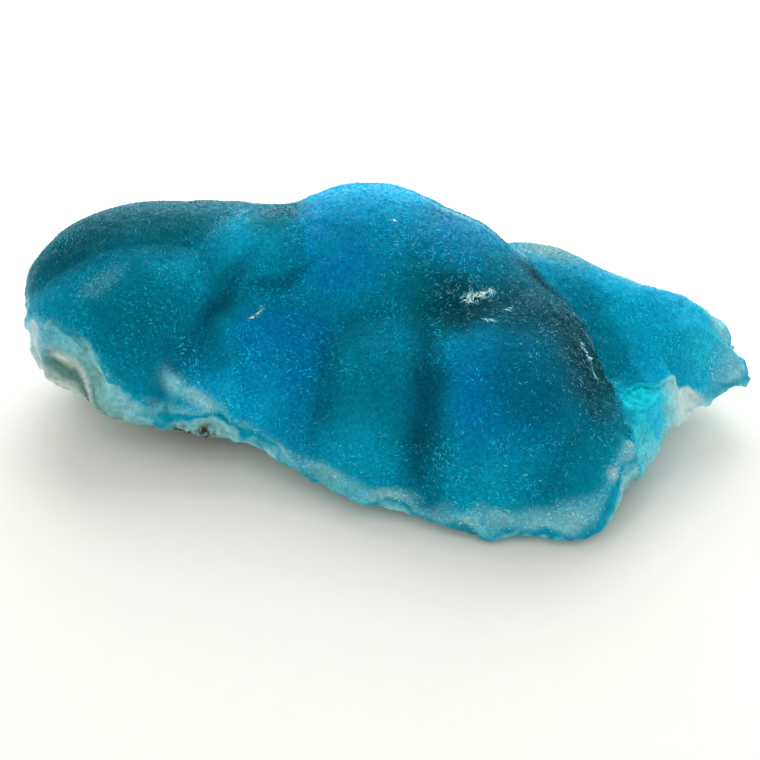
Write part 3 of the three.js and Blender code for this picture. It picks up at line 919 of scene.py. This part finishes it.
def fit_to_solid(points):
    """The function that takes a point of the form to its place: it stretches a little along X
    and Y and shifts, so that the skin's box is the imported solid's. The solid's flats cut the
    form's corners, so its box is slightly smaller than the form's."""
    low, high = (np.array(corner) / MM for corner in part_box(NODE))
    share = (high - low) / (points.max(0) - points.min(0))
    centre = (points.max(0) + points.min(0)) / 2
    share[2], centre[2] = 1, 0
    middle = (low + high) / 2 * (1, 1, 0)

    def place(at):
        """The place of a point of the form, in millimetres."""
        return (np.asarray(at, float) - centre) * share + middle

    return place


# ------------------------------------------------------------------ meshes and materials

def mesh_object(name, points, faces, smooth):
    """A mesh object from points in millimetres and faces that all have the same corners."""
    mesh = bpy.data.meshes.new(name)
    mesh.vertices.add(len(points))
    mesh.vertices.foreach_set("co", (points * MM).astype(np.float32).ravel())
    mesh.loops.add(faces.size)
    mesh.loops.foreach_set("vertex_index", faces.astype(np.int32).ravel())
    mesh.polygons.add(len(faces))
    starts = np.arange(len(faces), dtype=np.int32) * faces.shape[1]
    mesh.polygons.foreach_set("loop_start", starts)
    mesh.polygons.foreach_set("use_smooth", np.full(len(faces), smooth))
    mesh.update(calc_edges=True)
    piece = bpy.data.objects.new(name, mesh)
    bpy.context.scene.collection.objects.link(piece)
    return piece


def add_attribute(mesh, name, values):
    """Stores one number, or one linear colour, for each point of the mesh."""
    if values.ndim == 1:
        kind, key = "FLOAT", "value"
    else:
        kind, key = "FLOAT_COLOR", "color"
        values = np.column_stack([values, np.ones(len(values))])
    stored = mesh.attributes.new(name, kind, "POINT")
    stored.data.foreach_set(key, values.astype(np.float32).ravel())


def add_node(tree, kind, inputs=(), output=0, **settings):
    """Adds a node with its settings and links, and gives one of its outputs, or the node if it
    has none. The inputs are numbers, colours or other nodes' outputs, in order or by key."""
    node = tree.nodes.new(f"ShaderNode{kind}")
    for key, value in settings.items():
        setattr(node, key, value)
    for key, value in inputs.items() if isinstance(inputs, dict) else enumerate(inputs):
        if isinstance(value, bpy.types.NodeSocket):
            tree.links.new(value, node.inputs[key])
        else:
            node.inputs[key].default_value = value
    return node.outputs[output] if len(node.outputs) else node


def new_material(name):
    """An empty material, and the function that adds a node to it."""
    material = bpy.data.materials.new(name)
    material.use_nodes = True
    material.node_tree.nodes.clear()
    return material, partial(add_node, material.node_tree)


def rgba(colour):
    """A linear colour with full alpha."""
    return (*colour, 1)


def per_mm(size):
    """Scale of a pattern whose parts are this many millimetres apart."""
    return 1 / (size * MM)


# Sockets of a Mix node: its factor, then what it mixes and the result, as numbers or colours.
FACTOR = 0
UNDER_NUMBER, OVER_NUMBER = 2, 3
UNDER, OVER, MIXED = 6, 7, 2
# Fields of the nodes that work on a colour's hue, saturation and value.
SAME_HUE, SAME_SATURATION = 0.5, 1.0
# Most of a noise texture's values lie between these.
NOISE_LOW, NOISE_HIGH = 0.3, 0.7

# Hemimorphite's refractive index. Light enters the crust and comes back blue, so only its
# strongest reflections are white.
REFRACTION = 1.62
CRUST_GLOSS = 0.03
DRUSE_GLOSS = 0.06
GLOSS_TINT = (0.03, 0.6, 0.85)

# Depth under the crust in millimetres, and the layer's colour there.
LAYERS = (
    (0.0, "rim_cyan"),
    (0.2, "rim_cyan"),
    (0.55, "pale"),
    (1.1, "layer_green"),
    (2.0, "layer_grey"),
    (2.5, "layer_green"),
    (3.1, "matrix"),
    (3.8, "matrix_dark"),
    (4.8, "layer_grey"),
    (6.0, "matrix"),
)
LAYERS_END = 7.0

# Sizes in millimetres of the patterns in the crust and its rock: clouds inside the crust, its
# grain, the swirls of its fibres, and the tooth of the grain, which is finer and is drawn as
# coarse as it needs to show. Then the layers' waves, the rock's speckle and pits, and the fibres
# of a white patch.
CLOUD_SIZE = 3.2
GRAIN_SIZE = 0.35
SWIRL_SIZE = 0.5
TOOTH_SIZE = 0.15
WAVE_SIZE = 1.8
SPECKLE_SIZE = 0.5
PIT_SIZE = 0.7
WHITE_FIBRE_SIZE = 0.45


def stone_material(colours):
    """Hemimorphite, a zinc silicate tinted by copper, grown as a crust of fibres and broken.

    It gives the eye a deep soft blue-green that glows a little at thin edges, a glow painted
    into its tint, a satin lustre from its fine grain, partly painted as light lines, and pale
    chalky layers where it is broken."""
    material, node = new_material("hemimorphite_crust")
    place = node("TexCoord", output="Object")
    grown_tint = node("Attribute", attribute_name="tint", output="Color")
    broken = node("Attribute", attribute_name="broken", output="Fac")
    under_crust = node("Attribute", attribute_name="depth", output="Fac")
    whitened = node("Attribute", attribute_name="white", output="Fac")
    rusted = node("Attribute", attribute_name="rust", output="Fac")

    # Clouds inside the crust turn its hue a little, its grain makes it lighter and darker, and
    # light lines, where a swirled noise passes its middle, are painted sparkle of its fine grain.
    clouds = node("TexNoise", {"Vector": place, "Scale": per_mm(CLOUD_SIZE), "Detail": 3.0})
    grain = node("TexNoise", {"Vector": place, "Scale": per_mm(GRAIN_SIZE), "Detail": 2.0})
    hue = node("MapRange", (clouds, NOISE_LOW, NOISE_HIGH, 0.492, 0.508))
    light = node("MapRange", (grain, NOISE_LOW, NOISE_HIGH, 0.84, 1.16))
    swirl = node(
        "TexNoise",
        {"Vector": place, "Scale": per_mm(SWIRL_SIZE), "Detail": 1.0, "Distortion": 2.0},
    )
    off_line = node("Math", (swirl, 0.5), operation="SUBTRACT")
    off_line = node("Math", (off_line,), operation="ABSOLUTE")
    sparkle_strands = node("MapRange", (off_line, 0.0, 0.05, 1.4, 0.95))
    light = node("Math", (light, sparkle_strands), operation="MULTIPLY")
    tint = node("HueSaturation", (hue, SAME_SATURATION, light, 1.0, grown_tint))

    # A break shows the rock's layers, which wave a little.
    waves = node("TexNoise", {"Vector": place, "Scale": per_mm(WAVE_SIZE), "Detail": 3.0})
    waves = node("MapRange", (waves, 0.0, 1.0, -0.6, 0.6))
    depth = node("Math", (under_crust, waves), operation="ADD")
    ramp = node("ValToRGB", (node("Math", (depth, LAYERS_END), operation="DIVIDE"),))
    stops = ramp.node.color_ramp.elements
    while len(stops) < len(LAYERS):
        stops.new(1.0)
    for stop, (at, name) in zip(stops, LAYERS):
        stop.position = at / LAYERS_END
        stop.color = rgba(colours[name])
    speckle = node(
        "TexNoise",
        {"Vector": place, "Scale": per_mm(SPECKLE_SIZE), "Detail": 3.0, "Roughness": 0.7},
    )
    worn = node("MapRange", (speckle, NOISE_LOW, NOISE_HIGH, 0.72, 1.2))
    layers = node("HueSaturation", (SAME_HUE, SAME_SATURATION, worn, 1.0, ramp))
    colour = node(
        "Mix", {FACTOR: broken, UNDER: tint, OVER: layers}, data_type="RGBA", output=MIXED
    )

    # White hemimorphite lies in upright fibres, and iron has soaked into pits.
    fibres = node("VectorMath", (place, (1.0, 1.0, 0.2)), operation="MULTIPLY")
    fibres = node("TexNoise", {"Vector": fibres, "Scale": per_mm(WHITE_FIBRE_SIZE), "Detail": 2.0})
    fibres = node("MapRange", (fibres, 0.35, 0.65, 0.6, 1.0))
    white = node("Math", (whitened, fibres), operation="MULTIPLY")
    pits = node(
        "TexNoise",
        {"Vector": place, "Scale": per_mm(PIT_SIZE), "Detail": 4.0, "Roughness": 0.65},
    )
    pits = node("MapRange", (pits, 0.4, 0.56, 0.0, 1.0))
    stain = node("Math", (rusted, pits), operation="MULTIPLY")
    for share, name in ((white, "frost"), (stain, "rust")):
        colour = node(
            "Mix",
            {FACTOR: share, UNDER: colour, OVER: rgba(colours[name])},
            data_type="RGBA",
            output=MIXED,
        )

    satin = node("MapRange", (grain, NOISE_LOW, NOISE_HIGH, 0.36, 0.5))
    chalky = node("MapRange", (speckle, NOISE_LOW, NOISE_HIGH, 0.75, 0.55))
    roughness = node(
        "Mix",
        {FACTOR: broken, UNDER_NUMBER: satin, OVER_NUMBER: chalky},
        data_type="FLOAT",
    )

    coarse = node("Bump", {"Strength": 0.5, "Distance": 0.04 * MM, "Height": grain})
    tooth = node("TexNoise", {"Vector": place, "Scale": per_mm(TOOTH_SIZE), "Detail": 1.0})
    fine = node("Bump", {"Strength": 0.5, "Distance": 0.02 * MM, "Height": tooth, "Normal": coarse})
    shader = node(
        "BsdfPrincipled",
        {
            "Base Color": colour,
            "Roughness": roughness,
            "IOR": REFRACTION,
            "Specular IOR Level": CRUST_GLOSS,
            "Specular Tint": rgba(GLOSS_TINT),
            "Normal": fine,
            "Subsurface Weight": 0.3,
            "Subsurface Radius": (0.3, 0.8, 1.0),
            "Subsurface Scale": 1.4 * MM,
        },
    )
    node("OutputMaterial", {"Surface": shader})
    return material


# Hues of the druse. Each has steps of lightness against the crust, with a share of pale; the
# lightest steps are partly painted sparkle.
DRUSE_HUES = (
    "glow", "azure", "wing_blue", "bright_blue", "blue", "round_sea", "sea", "green_sea", "teal",
    "dark_teal", "shade", "night",
)
DRUSE_STEPS = ((1.05, 0), (1.4, 0), (1.9, 0.02), (1.8, 0.2), (1.6, 0.5))
DRUSE_WHITES = ("pale", "frost")


def druse_materials(colours, roughness):
    """Single crystals of hemimorphite: glassy and clean, so each is a dark facet or a spark, and
    the sparks are painted into the lightest, pale and white tints.

    A crystal is a tenth of a millimetre wide, finer than any pattern in it could show, so the
    druse's variety is which of these plain glassy tints each crystal has."""
    tints = [
        (f"druse_{hue}_{step + 1}", colours[hue] * lighter * (1 - pale) + colours["pale"] * pale)
        for hue in DRUSE_HUES
        for step, (lighter, pale) in enumerate(DRUSE_STEPS)
    ]
    tints += [(f"druse_{hue}", colours[hue]) for hue in DRUSE_WHITES]
    found = []
    for name, colour in tints:
        material, node = new_material(name)
        colour = np.clip(colour, 0, 1)
        shader = node(
            "BsdfPrincipled",
            {
                "Base Color": rgba(colour),
                "Roughness": roughness,
                "IOR": REFRACTION,
                "Specular IOR Level": DRUSE_GLOSS,
                "Specular Tint": rgba(GLOSS_TINT),
            },
        )
        node("OutputMaterial", {"Surface": shader})
        found.append((material, colour))
    return found


# ------------------------------------------------------------------ the druse

# Name of each bed of druse and its reach along X in millimetres.
DRUSE_BEDS = (
    ("druse_left", (-30, -14)),
    ("druse_middle", (-14, -3)),
    ("druse_right", (-3, 9)),
    ("druse_wing", (9, 30)),
)
MOST_CRYSTALS = 33000
# No crystals grow below this height, on the rest face.
DRUSE_FROM = 0.3
# How bare the wing is, and where a smooth lobe's pole gives way to its druse, as a share of its
# radii.
WING_BARE = 0.35
BARE_POLE = (0.1, 0.8)

# Where the druse has more white crystals: real frost in places, and painted sparkle and sheen on
# the back band, the shoulder and round the highlights. Place, radii, turn and strength.
FROST_AND_SPARKLE = (
    ((-22.6, 1.8), (2.4, 1.2), 15, 0.45),
    ((-14.6, -3.3), (3.6, 1.8), -10, 0.5),
    ((-9.6, 6.4), (4.6, 1.4), 0, 0.5),
    ((-20, 9.5), (9, 3.6), 8, 1.0),
    ((2, 2.2), (7, 3.2), -20, 0.5),
    ((9.0, -1.4), (5.6, 2.6), -25, 1.3),
    ((14.8, -3.8), (3.4, 6.4), 12, 2.2),
    ((-13.4, -5.0), (3.4, 0.6), -22, 3.0),
    ((14.5, -9.0), (3.5, 3.5), 0, 0.5),
    ((3.2, -10.6), (9, 1.8), -14, 0.25),
)
# Painted highlights: larger crystals, mostly white, laid where light glints off the crust. Place,
# radii, turn and strength.
GLINTS = (
    ((6.7, -1.2), (0.8, 0.5), 10, 1.0),
    ((7.9, -0.9), (0.8, 0.35), 20, 1.0),
    ((8.1, -3.5), (0.55, 0.2), -15, 0.9),
    ((9.6, -2.4), (0.5, 0.15), 20, 0.6),
    ((15.6, -3.5), (0.9, 0.22), -62, 1.0),
    ((16.3, -5.2), (0.8, 0.15), -62, 0.6),
    ((-11.4, 7.7), (0.7, 0.16), 30, 0.8),
    ((-9.2, 7.6), (0.6, 0.14), 15, 0.6),
    ((-10.1, -0.3), (0.6, 0.14), 22, 1.0),
    ((0.6, 4.9), (0.3, 0.14), 0, 0.9),
    ((26.2, -0.3), (0.7, 0.07), -48, 0.7),
)
# Crystals lie round the nearest lobe's pole, the more so the farther they are from its centre in
# this many millimetres, and noise of this strength, size and seed turns them.
RING_DISTANCE = 7
SWIRL_STRENGTH = 1.2
SWIRL_NOISE = (4.0, 41)


def bare_share(points, marks):
    """How bare of druse the crust is: at the poles of the lobes that are smooth."""
    bare = np.zeros(len(points))
    for form, ellipsoid in zip(LOBES, LOBE_ELLIPSOIDS):
        bare = np.maximum(bare, form.smooth * pole_share(ellipsoid, points, BARE_POLE))
    return np.where(marks.is_wing, WING_BARE, bare)


def unit(vectors):
    """Vectors of length one."""
    return vectors / (np.linalg.norm(vectors, axis=1, keepdims=True) + TINY)


def growth_direction(points, normals, marks):
    """Which way the crystals lie: round the nearest lobe's pole, turned by slow noise."""
    nearest = marks.lobes.argmin(0)
    centres = np.array([centre for centre, _ in LOBE_ELLIPSOIDS])[nearest]
    ring = np.cross(normals, points - centres) / RING_DISTANCE
    way = ring + SWIRL_STRENGTH * noise_vector(points, *SWIRL_NOISE)
    return unit(way - normals * (way * normals).sum(1, keepdims=True))


def scatter(skin, reach, density, rng):
    """Random places on the skin's crust between two X, as a quad and a place within it, by
    each quad's area and its density of druse."""
    corners = skin.points[skin.quads]
    diagonals = np.cross(corners[:, 2] - corners[:, 0], corners[:, 3] - corners[:, 1])
    area = np.linalg.norm(diagonals, axis=1) / 2
    wanted = (skin.druse[skin.quads].mean(1) * area * density).clip(0)
    middle = corners[:, :, 0].mean(1)
    wanted[(middle < reach[0]) | (middle >= reach[1])] = 0
    count = min(int(wanted.sum()), MOST_CRYSTALS)
    total = np.cumsum(wanted)
    quad = np.searchsorted(total, rng.random(count) * total[-1])
    return quad, rng.random((count, 2))


# How a crystal varies: the two powers of its length's curve, its width and height as shares of
# the usual, how far its crest strays along it, and how deep it sits, as shares of its length and
# height. Crystals that paint a highlight are longer and wider.
LENGTH_CURVE = (1.6, 3.5)
WIDTH_RANGE = (0.7, 1.3)
HEIGHT_RANGE = (0.6, 1.4)
CREST_RANGE = (-0.2, 0.2)
SUNK = 0.7
GLINT_LONGER = 0.6
GLINT_WIDER = 1.6
# The druse is livelier in some places than in others, by a noise's size, seed and height.
LIVELY_NOISE = ((2.2, 61, 0.8),)
# How much lighter than the crust crystals are, how often one is white anywhere, as real frost and
# painted sparkle, how much more often it is in a patch of frost and sparkle, and how strong the
# frost is on one, and in a painted highlight.
LIGHTER_SCALE = 1.3
SPARKLE_ANYWHERE = 0.35
SPARKLE_IN_PATCHES = 10
FROST_RANGE = (0.0, 0.45)
GLINT_RANGE = (0.2, 1.4)
# A crystal's points are tip, side, tip and side in turn, then its crest. Then its triangles.
CRYSTAL_POINTS = 5
CRYSTAL_FACES = np.array([[0, 3, 4], [3, 2, 4], [2, 1, 4], [1, 0, 4], [0, 1, 2], [0, 2, 3]])


def crystal_points(place, normal, growth, glint, sizes, rng):
    """Five points for each crystal, a low roof on a long diamond: two tips, two sides and a
    crest, laid on the skin along its growth, turned and tilted at random."""
    count = len(place)

    def normally(spread):
        """A random number for each crystal, spread round 0."""
        return rng.normal(0, spread, count)[:, None]

    def between(low, high):
        """A random number for each crystal, even between the two."""
        return rng.uniform(low, high, count)[:, None]

    side = unit(np.cross(normal, growth))
    way = np.cross(side, normal)
    angle = normally(sizes.scatter)
    along = way * np.cos(angle) + side * np.sin(angle)
    across = side * np.cos(angle) - way * np.sin(angle)
    pitch = normally(sizes.tilt)
    roll = normally(sizes.tilt)
    along = along * np.cos(pitch) + normal * np.sin(pitch)
    up = np.cross(along, across)
    across = across * np.cos(roll) + up * np.sin(roll)
    up = np.cross(along, across)

    grown = rng.beta(*LENGTH_CURVE, count)[:, None]
    length = sizes.length_min + (sizes.length_max - sizes.length_min) * grown
    length = length * (1 + GLINT_LONGER * glint)
    width = sizes.width * between(*WIDTH_RANGE) * (1 + GLINT_WIDER * glint)
    height = sizes.height * between(*HEIGHT_RANGE)
    crest = place + up * height + along * length * between(*CREST_RANGE)
    sunk = place - up * height * SUNK
    tip = along * length / 2
    edge = across * width / 2
    points = np.stack([sunk - tip, sunk + edge, sunk + tip, sunk - edge, crest], 1).reshape(-1, 3)
    points[:, 2] = np.maximum(points[:, 2], 0)
    return points


def crystal_tints(place, tint, frosted, glint, sizes, colours, rng):
    """Each crystal's own tint: as the crust or lighter, and here and there mixed with white, partly
    real frost and partly painted sparkle and highlights.
    """
    count = len(place)
    lively = 1 + noise_sum(place, LIVELY_NOISE)[:, None]
    lighter = LIGHTER_SCALE * np.abs(rng.normal(0, 1, count))[:, None]
    lighter = np.exp(sizes.contrast * lively * lighter)
    white_share = sizes.sparkle * (SPARKLE_ANYWHERE + SPARKLE_IN_PATCHES * frosted) * lively
    white = rng.random(count)[:, None] < white_share
    frost = np.where(white, rng.uniform(*FROST_RANGE, count)[:, None], 0)
    frost = np.maximum(frost, glint * rng.uniform(*GLINT_RANGE, count)[:, None])
    frost = np.clip(frost, 0, 1)
    white_hue = colours["pale"] + (colours["frost"] - colours["pale"]) * frost
    return np.clip(tint * lighter, 0, 1) * (1 - frost) + white_hue * frost


def druse_bed(skin, reach, sizes, palette, colours, rng):
    """Points, triangles and materials of one bed of crystals. Each takes the palette's nearest
    colour, compared in even steps of lightness: the cube roots of red, green and blue."""
    quad, within = scatter(skin, reach, sizes.density, rng)
    s, t = within.T
    shares = np.stack([(1 - s) * (1 - t), s * (1 - t), s * t, (1 - s) * t], 1)

    def at(values):
        """The skin's values at each crystal's place in its quad."""
        return np.einsum("nc,ncd->nd", shares, values[skin.quads[quad]])

    place = at(skin.points)
    # How much each crystal belongs to a painted highlight.
    glint = patches(place, GLINTS)[:, None]
    points = crystal_points(place, unit(at(skin.normals)), at(skin.growth), glint, sizes, rng)
    firsts = CRYSTAL_POINTS * np.arange(len(place))
    faces = CRYSTAL_FACES + firsts[:, None, None]

    own = crystal_tints(place, at(skin.tint), at(skin.frosted[:, None]), glint, sizes, colours, rng)
    known = np.array([colour for _, colour in palette])
    gaps = ((np.cbrt(own)[:, None] - np.cbrt(known)[None]) ** 2).sum(2)
    return points, faces.reshape(-1, 3), np.repeat(gaps.argmin(1), len(CRYSTAL_FACES))


# ------------------------------------------------------------------ the stage

# Size in millimetres of the card's mottling.
CARD_MOTTLE = 1.5


def floor_material(colour):
    """White card: matt, with the faint mottling of its fibres."""
    material, node = new_material("white_card")
    place = node("TexCoord", output="Object")
    fibres = node("TexNoise", {"Vector": place, "Scale": per_mm(CARD_MOTTLE), "Detail": 3.0})
    mottle = node("MapRange", (fibres, NOISE_LOW, NOISE_HIGH, 0.985, 1.0))
    shade = node("HueSaturation", (SAME_HUE, SAME_SATURATION, mottle, 1.0, rgba(colour)))
    shader = node(
        "BsdfPrincipled", {"Base Color": shade, "Roughness": 0.9, "Specular IOR Level": 0.2}
    )
    node("OutputMaterial", {"Surface": shader})
    return material


# Places in millimetres: the large light, what it shines at, and what the camera looks at, which
# is a place on the form.
KEY_PLACE = (10, 250, 165)
KEY_TARGET = (0, 0, 5)
CAMERA_TARGET = (-0.37, -6.28, 9.2)
# The camera's sensor in millimetres, and the nearest and farthest that it sees in metres.
SENSOR_WIDTH = 36
NEAREST = 0.01
FARTHEST = 10


def aim(thing, place, target):
    """Puts a light or camera at a place and turns it to look at a target, both in metres."""
    thing.location = place
    thing.rotation_euler = (Vector(target) - Vector(place)).to_track_quat("-Z", "Y").to_euler()


def add_light(name, place, target, power, size):
    """A round area light: its place and target are in millimetres, and its size in metres."""
    data = bpy.data.lights.new(name, "AREA")
    data.shape = "DISK"
    data.size = size
    data.energy = power
    light = bpy.data.objects.new(name, data)
    aim(light, Vector(place) * MM, Vector(target) * MM)
    bpy.context.scene.collection.objects.link(light)


def add_camera(settings, target):
    """The camera in front of a place in metres, looking down on it."""
    data = bpy.data.cameras.new("camera")
    data.lens = settings.lens
    data.sensor_width = SENSOR_WIDTH
    data.clip_start = NEAREST
    data.clip_end = FARTHEST
    camera = bpy.data.objects.new("camera", data)
    back = Vector((0, -math.cos(settings.elevation), math.sin(settings.elevation)))
    aim(camera, target + back * settings.distance, target)
    bpy.context.scene.collection.objects.link(camera)
    bpy.context.scene.camera = camera


# ------------------------------------------------------------------ settings

class StoneSettings(bpy.types.PropertyGroup):
    """Sizes of the stone's skin. Its colours are added below from their table."""

    cells: IntProperty(
        name="Cells",
        description="Quads along each edge of the mesh's six grids",
        default=127,
        min=16,
        max=127,
    )
    relax_rounds: IntProperty(
        name="Relaxing rounds",
        description="How often the mesh is evened out",
        default=10,
        min=1,
        max=30,
    )
    edge_blend: FloatProperty(
        name="Edge rounding",
        description="Rounding of the broken edges, mm",
        default=0.22,
        min=0.05,
        max=1,
    )
    crease_depth: FloatProperty(
        name="Crease depth",
        description="How deep the lobes' creases are cut, mm",
        default=0.5,
        min=0,
        max=1.5,
    )
    facet: FloatProperty(
        name="Facet size",
        description="Size of the facets on a broken face, mm",
        default=1.5,
        min=0.5,
        max=5,
    )
    facet_depth: FloatProperty(
        name="Facet depth",
        description="Relief of the broken faces, mm",
        default=0.26,
        min=0,
        max=1,
    )


for colour_name, (code, worn_by) in STONE_COLOURS.items():
    StoneSettings.__annotations__[colour_name] = FloatVectorProperty(
        name=colour_name.replace("_", " ").capitalize(),
        description=worn_by,
        subtype="COLOR",
        size=3,
        min=0,
        max=1,
        default=linear(code),
    )


class DruseSettings(bpy.types.PropertyGroup):
    """Sizes of the druse's crystals."""

    seed: IntProperty(name="Seed", description="Start of the druse's random numbers", default=7)
    density: FloatProperty(
        name="Density", description="Crystals on a square millimetre", default=34, min=0
    )
    length_min: FloatProperty(
        name="Shortest", description="Shortest crystal, mm", default=0.26, min=0.05
    )
    length_max: FloatProperty(
        name="Longest", description="Longest crystal, mm", default=0.85, min=0.1
    )
    width: FloatProperty(
        name="Width", description="Usual width of a crystal, mm", default=0.1, min=0.02
    )
    height: FloatProperty(
        name="Height", description="How far a crystal stands up, mm", default=0.025, min=0.01
    )
    scatter: FloatProperty(
        name="Scatter",
        description="How far crystals stray from their growth",
        default=math.radians(38),
        subtype="ANGLE",
    )
    tilt: FloatProperty(
        name="Tilt",
        description="How far crystals lean out of the skin",
        default=math.radians(11),
        subtype="ANGLE",
    )
    contrast: FloatProperty(
        name="Contrast",
        description="How much lighter than the crust, as a logarithm",
        default=0.36,
        min=0,
    )
    # White crystals are partly real frost and partly painted sparkle.
    sparkle: FloatProperty(
        name="Frosted share",
        description="Share of the crystals that are white inside",
        default=0.028,
        min=0,
        max=1,
    )
    roughness: FloatProperty(
        name="Roughness", description="Roughness of a crystal", default=0.25, min=0, max=1
    )


class StageSettings(bpy.types.PropertyGroup):
    """The floor, the lights and the camera."""

    floor_size: FloatProperty(
        name="Floor", description="Side of the floor", default=3.0, unit="LENGTH"
    )
    floor_colour: FloatVectorProperty(
        name="Floor colour",
        description="Matt white card",
        subtype="COLOR",
        size=3,
        default=linear("#F7F7F5"),
    )
    sky_colour: FloatVectorProperty(
        name="Sky colour",
        description="Slightly warm, from the room",
        subtype="COLOR",
        size=3,
        default=(1, 0.97, 0.91),
    )
    sky_strength: FloatProperty(
        name="Sky", description="Strength of the light from all round", default=0.75
    )
    key_power: FloatProperty(
        name="Key", description="Power of the large light, watts", default=1.1
    )
    key_size: FloatProperty(
        name="Key size", description="Width of the large light", default=0.32, unit="LENGTH"
    )
    lens: FloatProperty(name="Lens", description="Focal length, mm", default=85.0)
    distance: FloatProperty(
        name="Camera distance",
        description="Distance to what the camera looks at",
        default=0.1346,
        unit="LENGTH",
    )
    elevation: FloatProperty(
        name="Camera elevation",
        description="Angle that the camera looks down",
        default=math.radians(38.7),
        subtype="ANGLE",
    )


# ------------------------------------------------------------------ operators

# What the stone's operator leaves for the others: its skin, the function that puts a point of
# the form in its place, and the colours.
made = SimpleNamespace(skin=None, place=None, colours=None)


class HEMIMORPHITE_OT_stone(bpy.types.Operator):
    """Builds the stone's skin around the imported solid"""

    bl_idname = "hemimorphite.stone"
    bl_label = "Build the stone"

    def execute(self, context):
        settings = context.scene.hemimorphite_stone
        colours = {name: np.array(getattr(settings, name)) for name in STONE_COLOURS}
        skin = stone_skin(settings)
        marks, points = skin.marks, skin.points
        skin.tint = crust_tint(points, marks, colours)
        skin.growth = growth_direction(points, skin.normals, marks)
        grows = (1 - marks.broken) * (1 - bare_share(points, marks))
        skin.druse = grows * (points[:, 2] > DRUSE_FROM)
        skin.frosted = patches(points, FROST_AND_SPARKLE)
        made.skin, made.colours = skin, colours
        made.place = fit_to_solid(points)

        stone = mesh_object("hemimorphite", made.place(points), skin.quads, smooth=True)
        depth, in_crust = layer_depth(points, marks)
        bare_rock = marks.broken * (1 - heel_share(points, marks)) * (1 - in_crust)
        add_attribute(stone.data, "tint", skin.tint)
        add_attribute(stone.data, "broken", bare_rock)
        add_attribute(stone.data, "depth", depth)
        add_attribute(stone.data, "white", patches(points, BROKEN_WHITE) * marks.broken)
        add_attribute(stone.data, "rust", rust_share(points))
        stone.data.materials.append(stone_material(colours))
        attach(stone, BODY)
        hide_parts(NODE)
        return {"FINISHED"}


class HEMIMORPHITE_OT_druse(bpy.types.Operator):
    """Lays the druse on the crust, one piece for each bed"""

    bl_idname = "hemimorphite.druse"
    bl_label = "Grow the druse"

    def execute(self, context):
        if made.skin is None:
            raise RuntimeError("build the stone first: the druse grows on its skin")
        settings = context.scene.hemimorphite_druse
        rng = np.random.default_rng(settings.seed)
        palette = druse_materials(made.colours, settings.roughness)
        for name, reach in DRUSE_BEDS:
            points, faces, material = druse_bed(
                made.skin, reach, settings, palette, made.colours, rng
            )
            bed = mesh_object(name, made.place(points), faces, smooth=False)
            for worn, _ in palette:
                bed.data.materials.append(worn)
            bed.data.polygons.foreach_set("material_index", material.astype(np.int32))
            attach(bed, BODY)
        return {"FINISHED"}


class HEMIMORPHITE_OT_stage(bpy.types.Operator):
    """Sets the floor, the lights and the camera"""

    bl_idname = "hemimorphite.stage"
    bl_label = "Set the stage"

    def execute(self, context):
        if made.place is None:
            raise RuntimeError("build the stone first: the camera looks at it")
        settings = context.scene.hemimorphite_stage
        scene = context.scene
        scene.view_settings.view_transform = "Standard"
        half = settings.floor_size / MM / 2
        corners = np.array([[-half, -half, 0], [half, -half, 0], [half, half, 0], [-half, half, 0]])
        floor = mesh_object("floor", corners, np.array([[0, 1, 2, 3]]), smooth=False)
        floor.data.materials.append(floor_material(settings.floor_colour))

        scene.world = bpy.data.worlds.new("sky")
        scene.world.use_nodes = True
        sky = scene.world.node_tree.nodes["Background"].inputs
        sky["Color"].default_value = rgba(settings.sky_colour)
        sky["Strength"].default_value = settings.sky_strength

        add_light("key", KEY_PLACE, KEY_TARGET, settings.key_power, settings.key_size)
        add_camera(settings, Vector(made.place(CAMERA_TARGET)) * MM)
        return {"FINISHED"}


# ------------------------------------------------------------------ panel and main

class HEMIMORPHITE_PT_panel(bpy.types.Panel):
    """Lists the steps and their settings."""

    bl_label = "Hemimorphite"
    bl_space_type = "VIEW_3D"
    bl_region_type = "UI"
    bl_category = "Hemimorphite"

    def draw(self, context):
        """One box for each step: its button, then its settings."""
        for name, operator in STEPS:
            box = self.layout.box()
            box.operator(operator.bl_idname)
            settings = getattr(context.scene, name)
            for key in settings.__annotations__:
                box.prop(settings, key)


STEPS = (
    ("hemimorphite_stone", HEMIMORPHITE_OT_stone),
    ("hemimorphite_druse", HEMIMORPHITE_OT_druse),
    ("hemimorphite_stage", HEMIMORPHITE_OT_stage),
)
SETTINGS = (
    ("hemimorphite_stone", StoneSettings),
    ("hemimorphite_druse", DruseSettings),
    ("hemimorphite_stage", StageSettings),
)
CLASSES = (*(group for _, group in SETTINGS), *(step for _, step in STEPS), HEMIMORPHITE_PT_panel)


def register():
    """Makes the classes and their settings known to Blender."""
    for each in CLASSES:
        bpy.utils.register_class(each)
    for name, group in SETTINGS:
        setattr(bpy.types.Scene, name, PointerProperty(type=group))


def unregister():
    """Takes them away again."""
    for name, _ in SETTINGS:
        delattr(bpy.types.Scene, name)
    for each in reversed(CLASSES):
        bpy.utils.unregister_class(each)


def main():
    """Builds the piece and its stage."""
    register()
    bpy.ops.hemimorphite.stone()
    bpy.ops.hemimorphite.druse()
    bpy.ops.hemimorphite.stage()


if __name__ == "__main__":
    main()
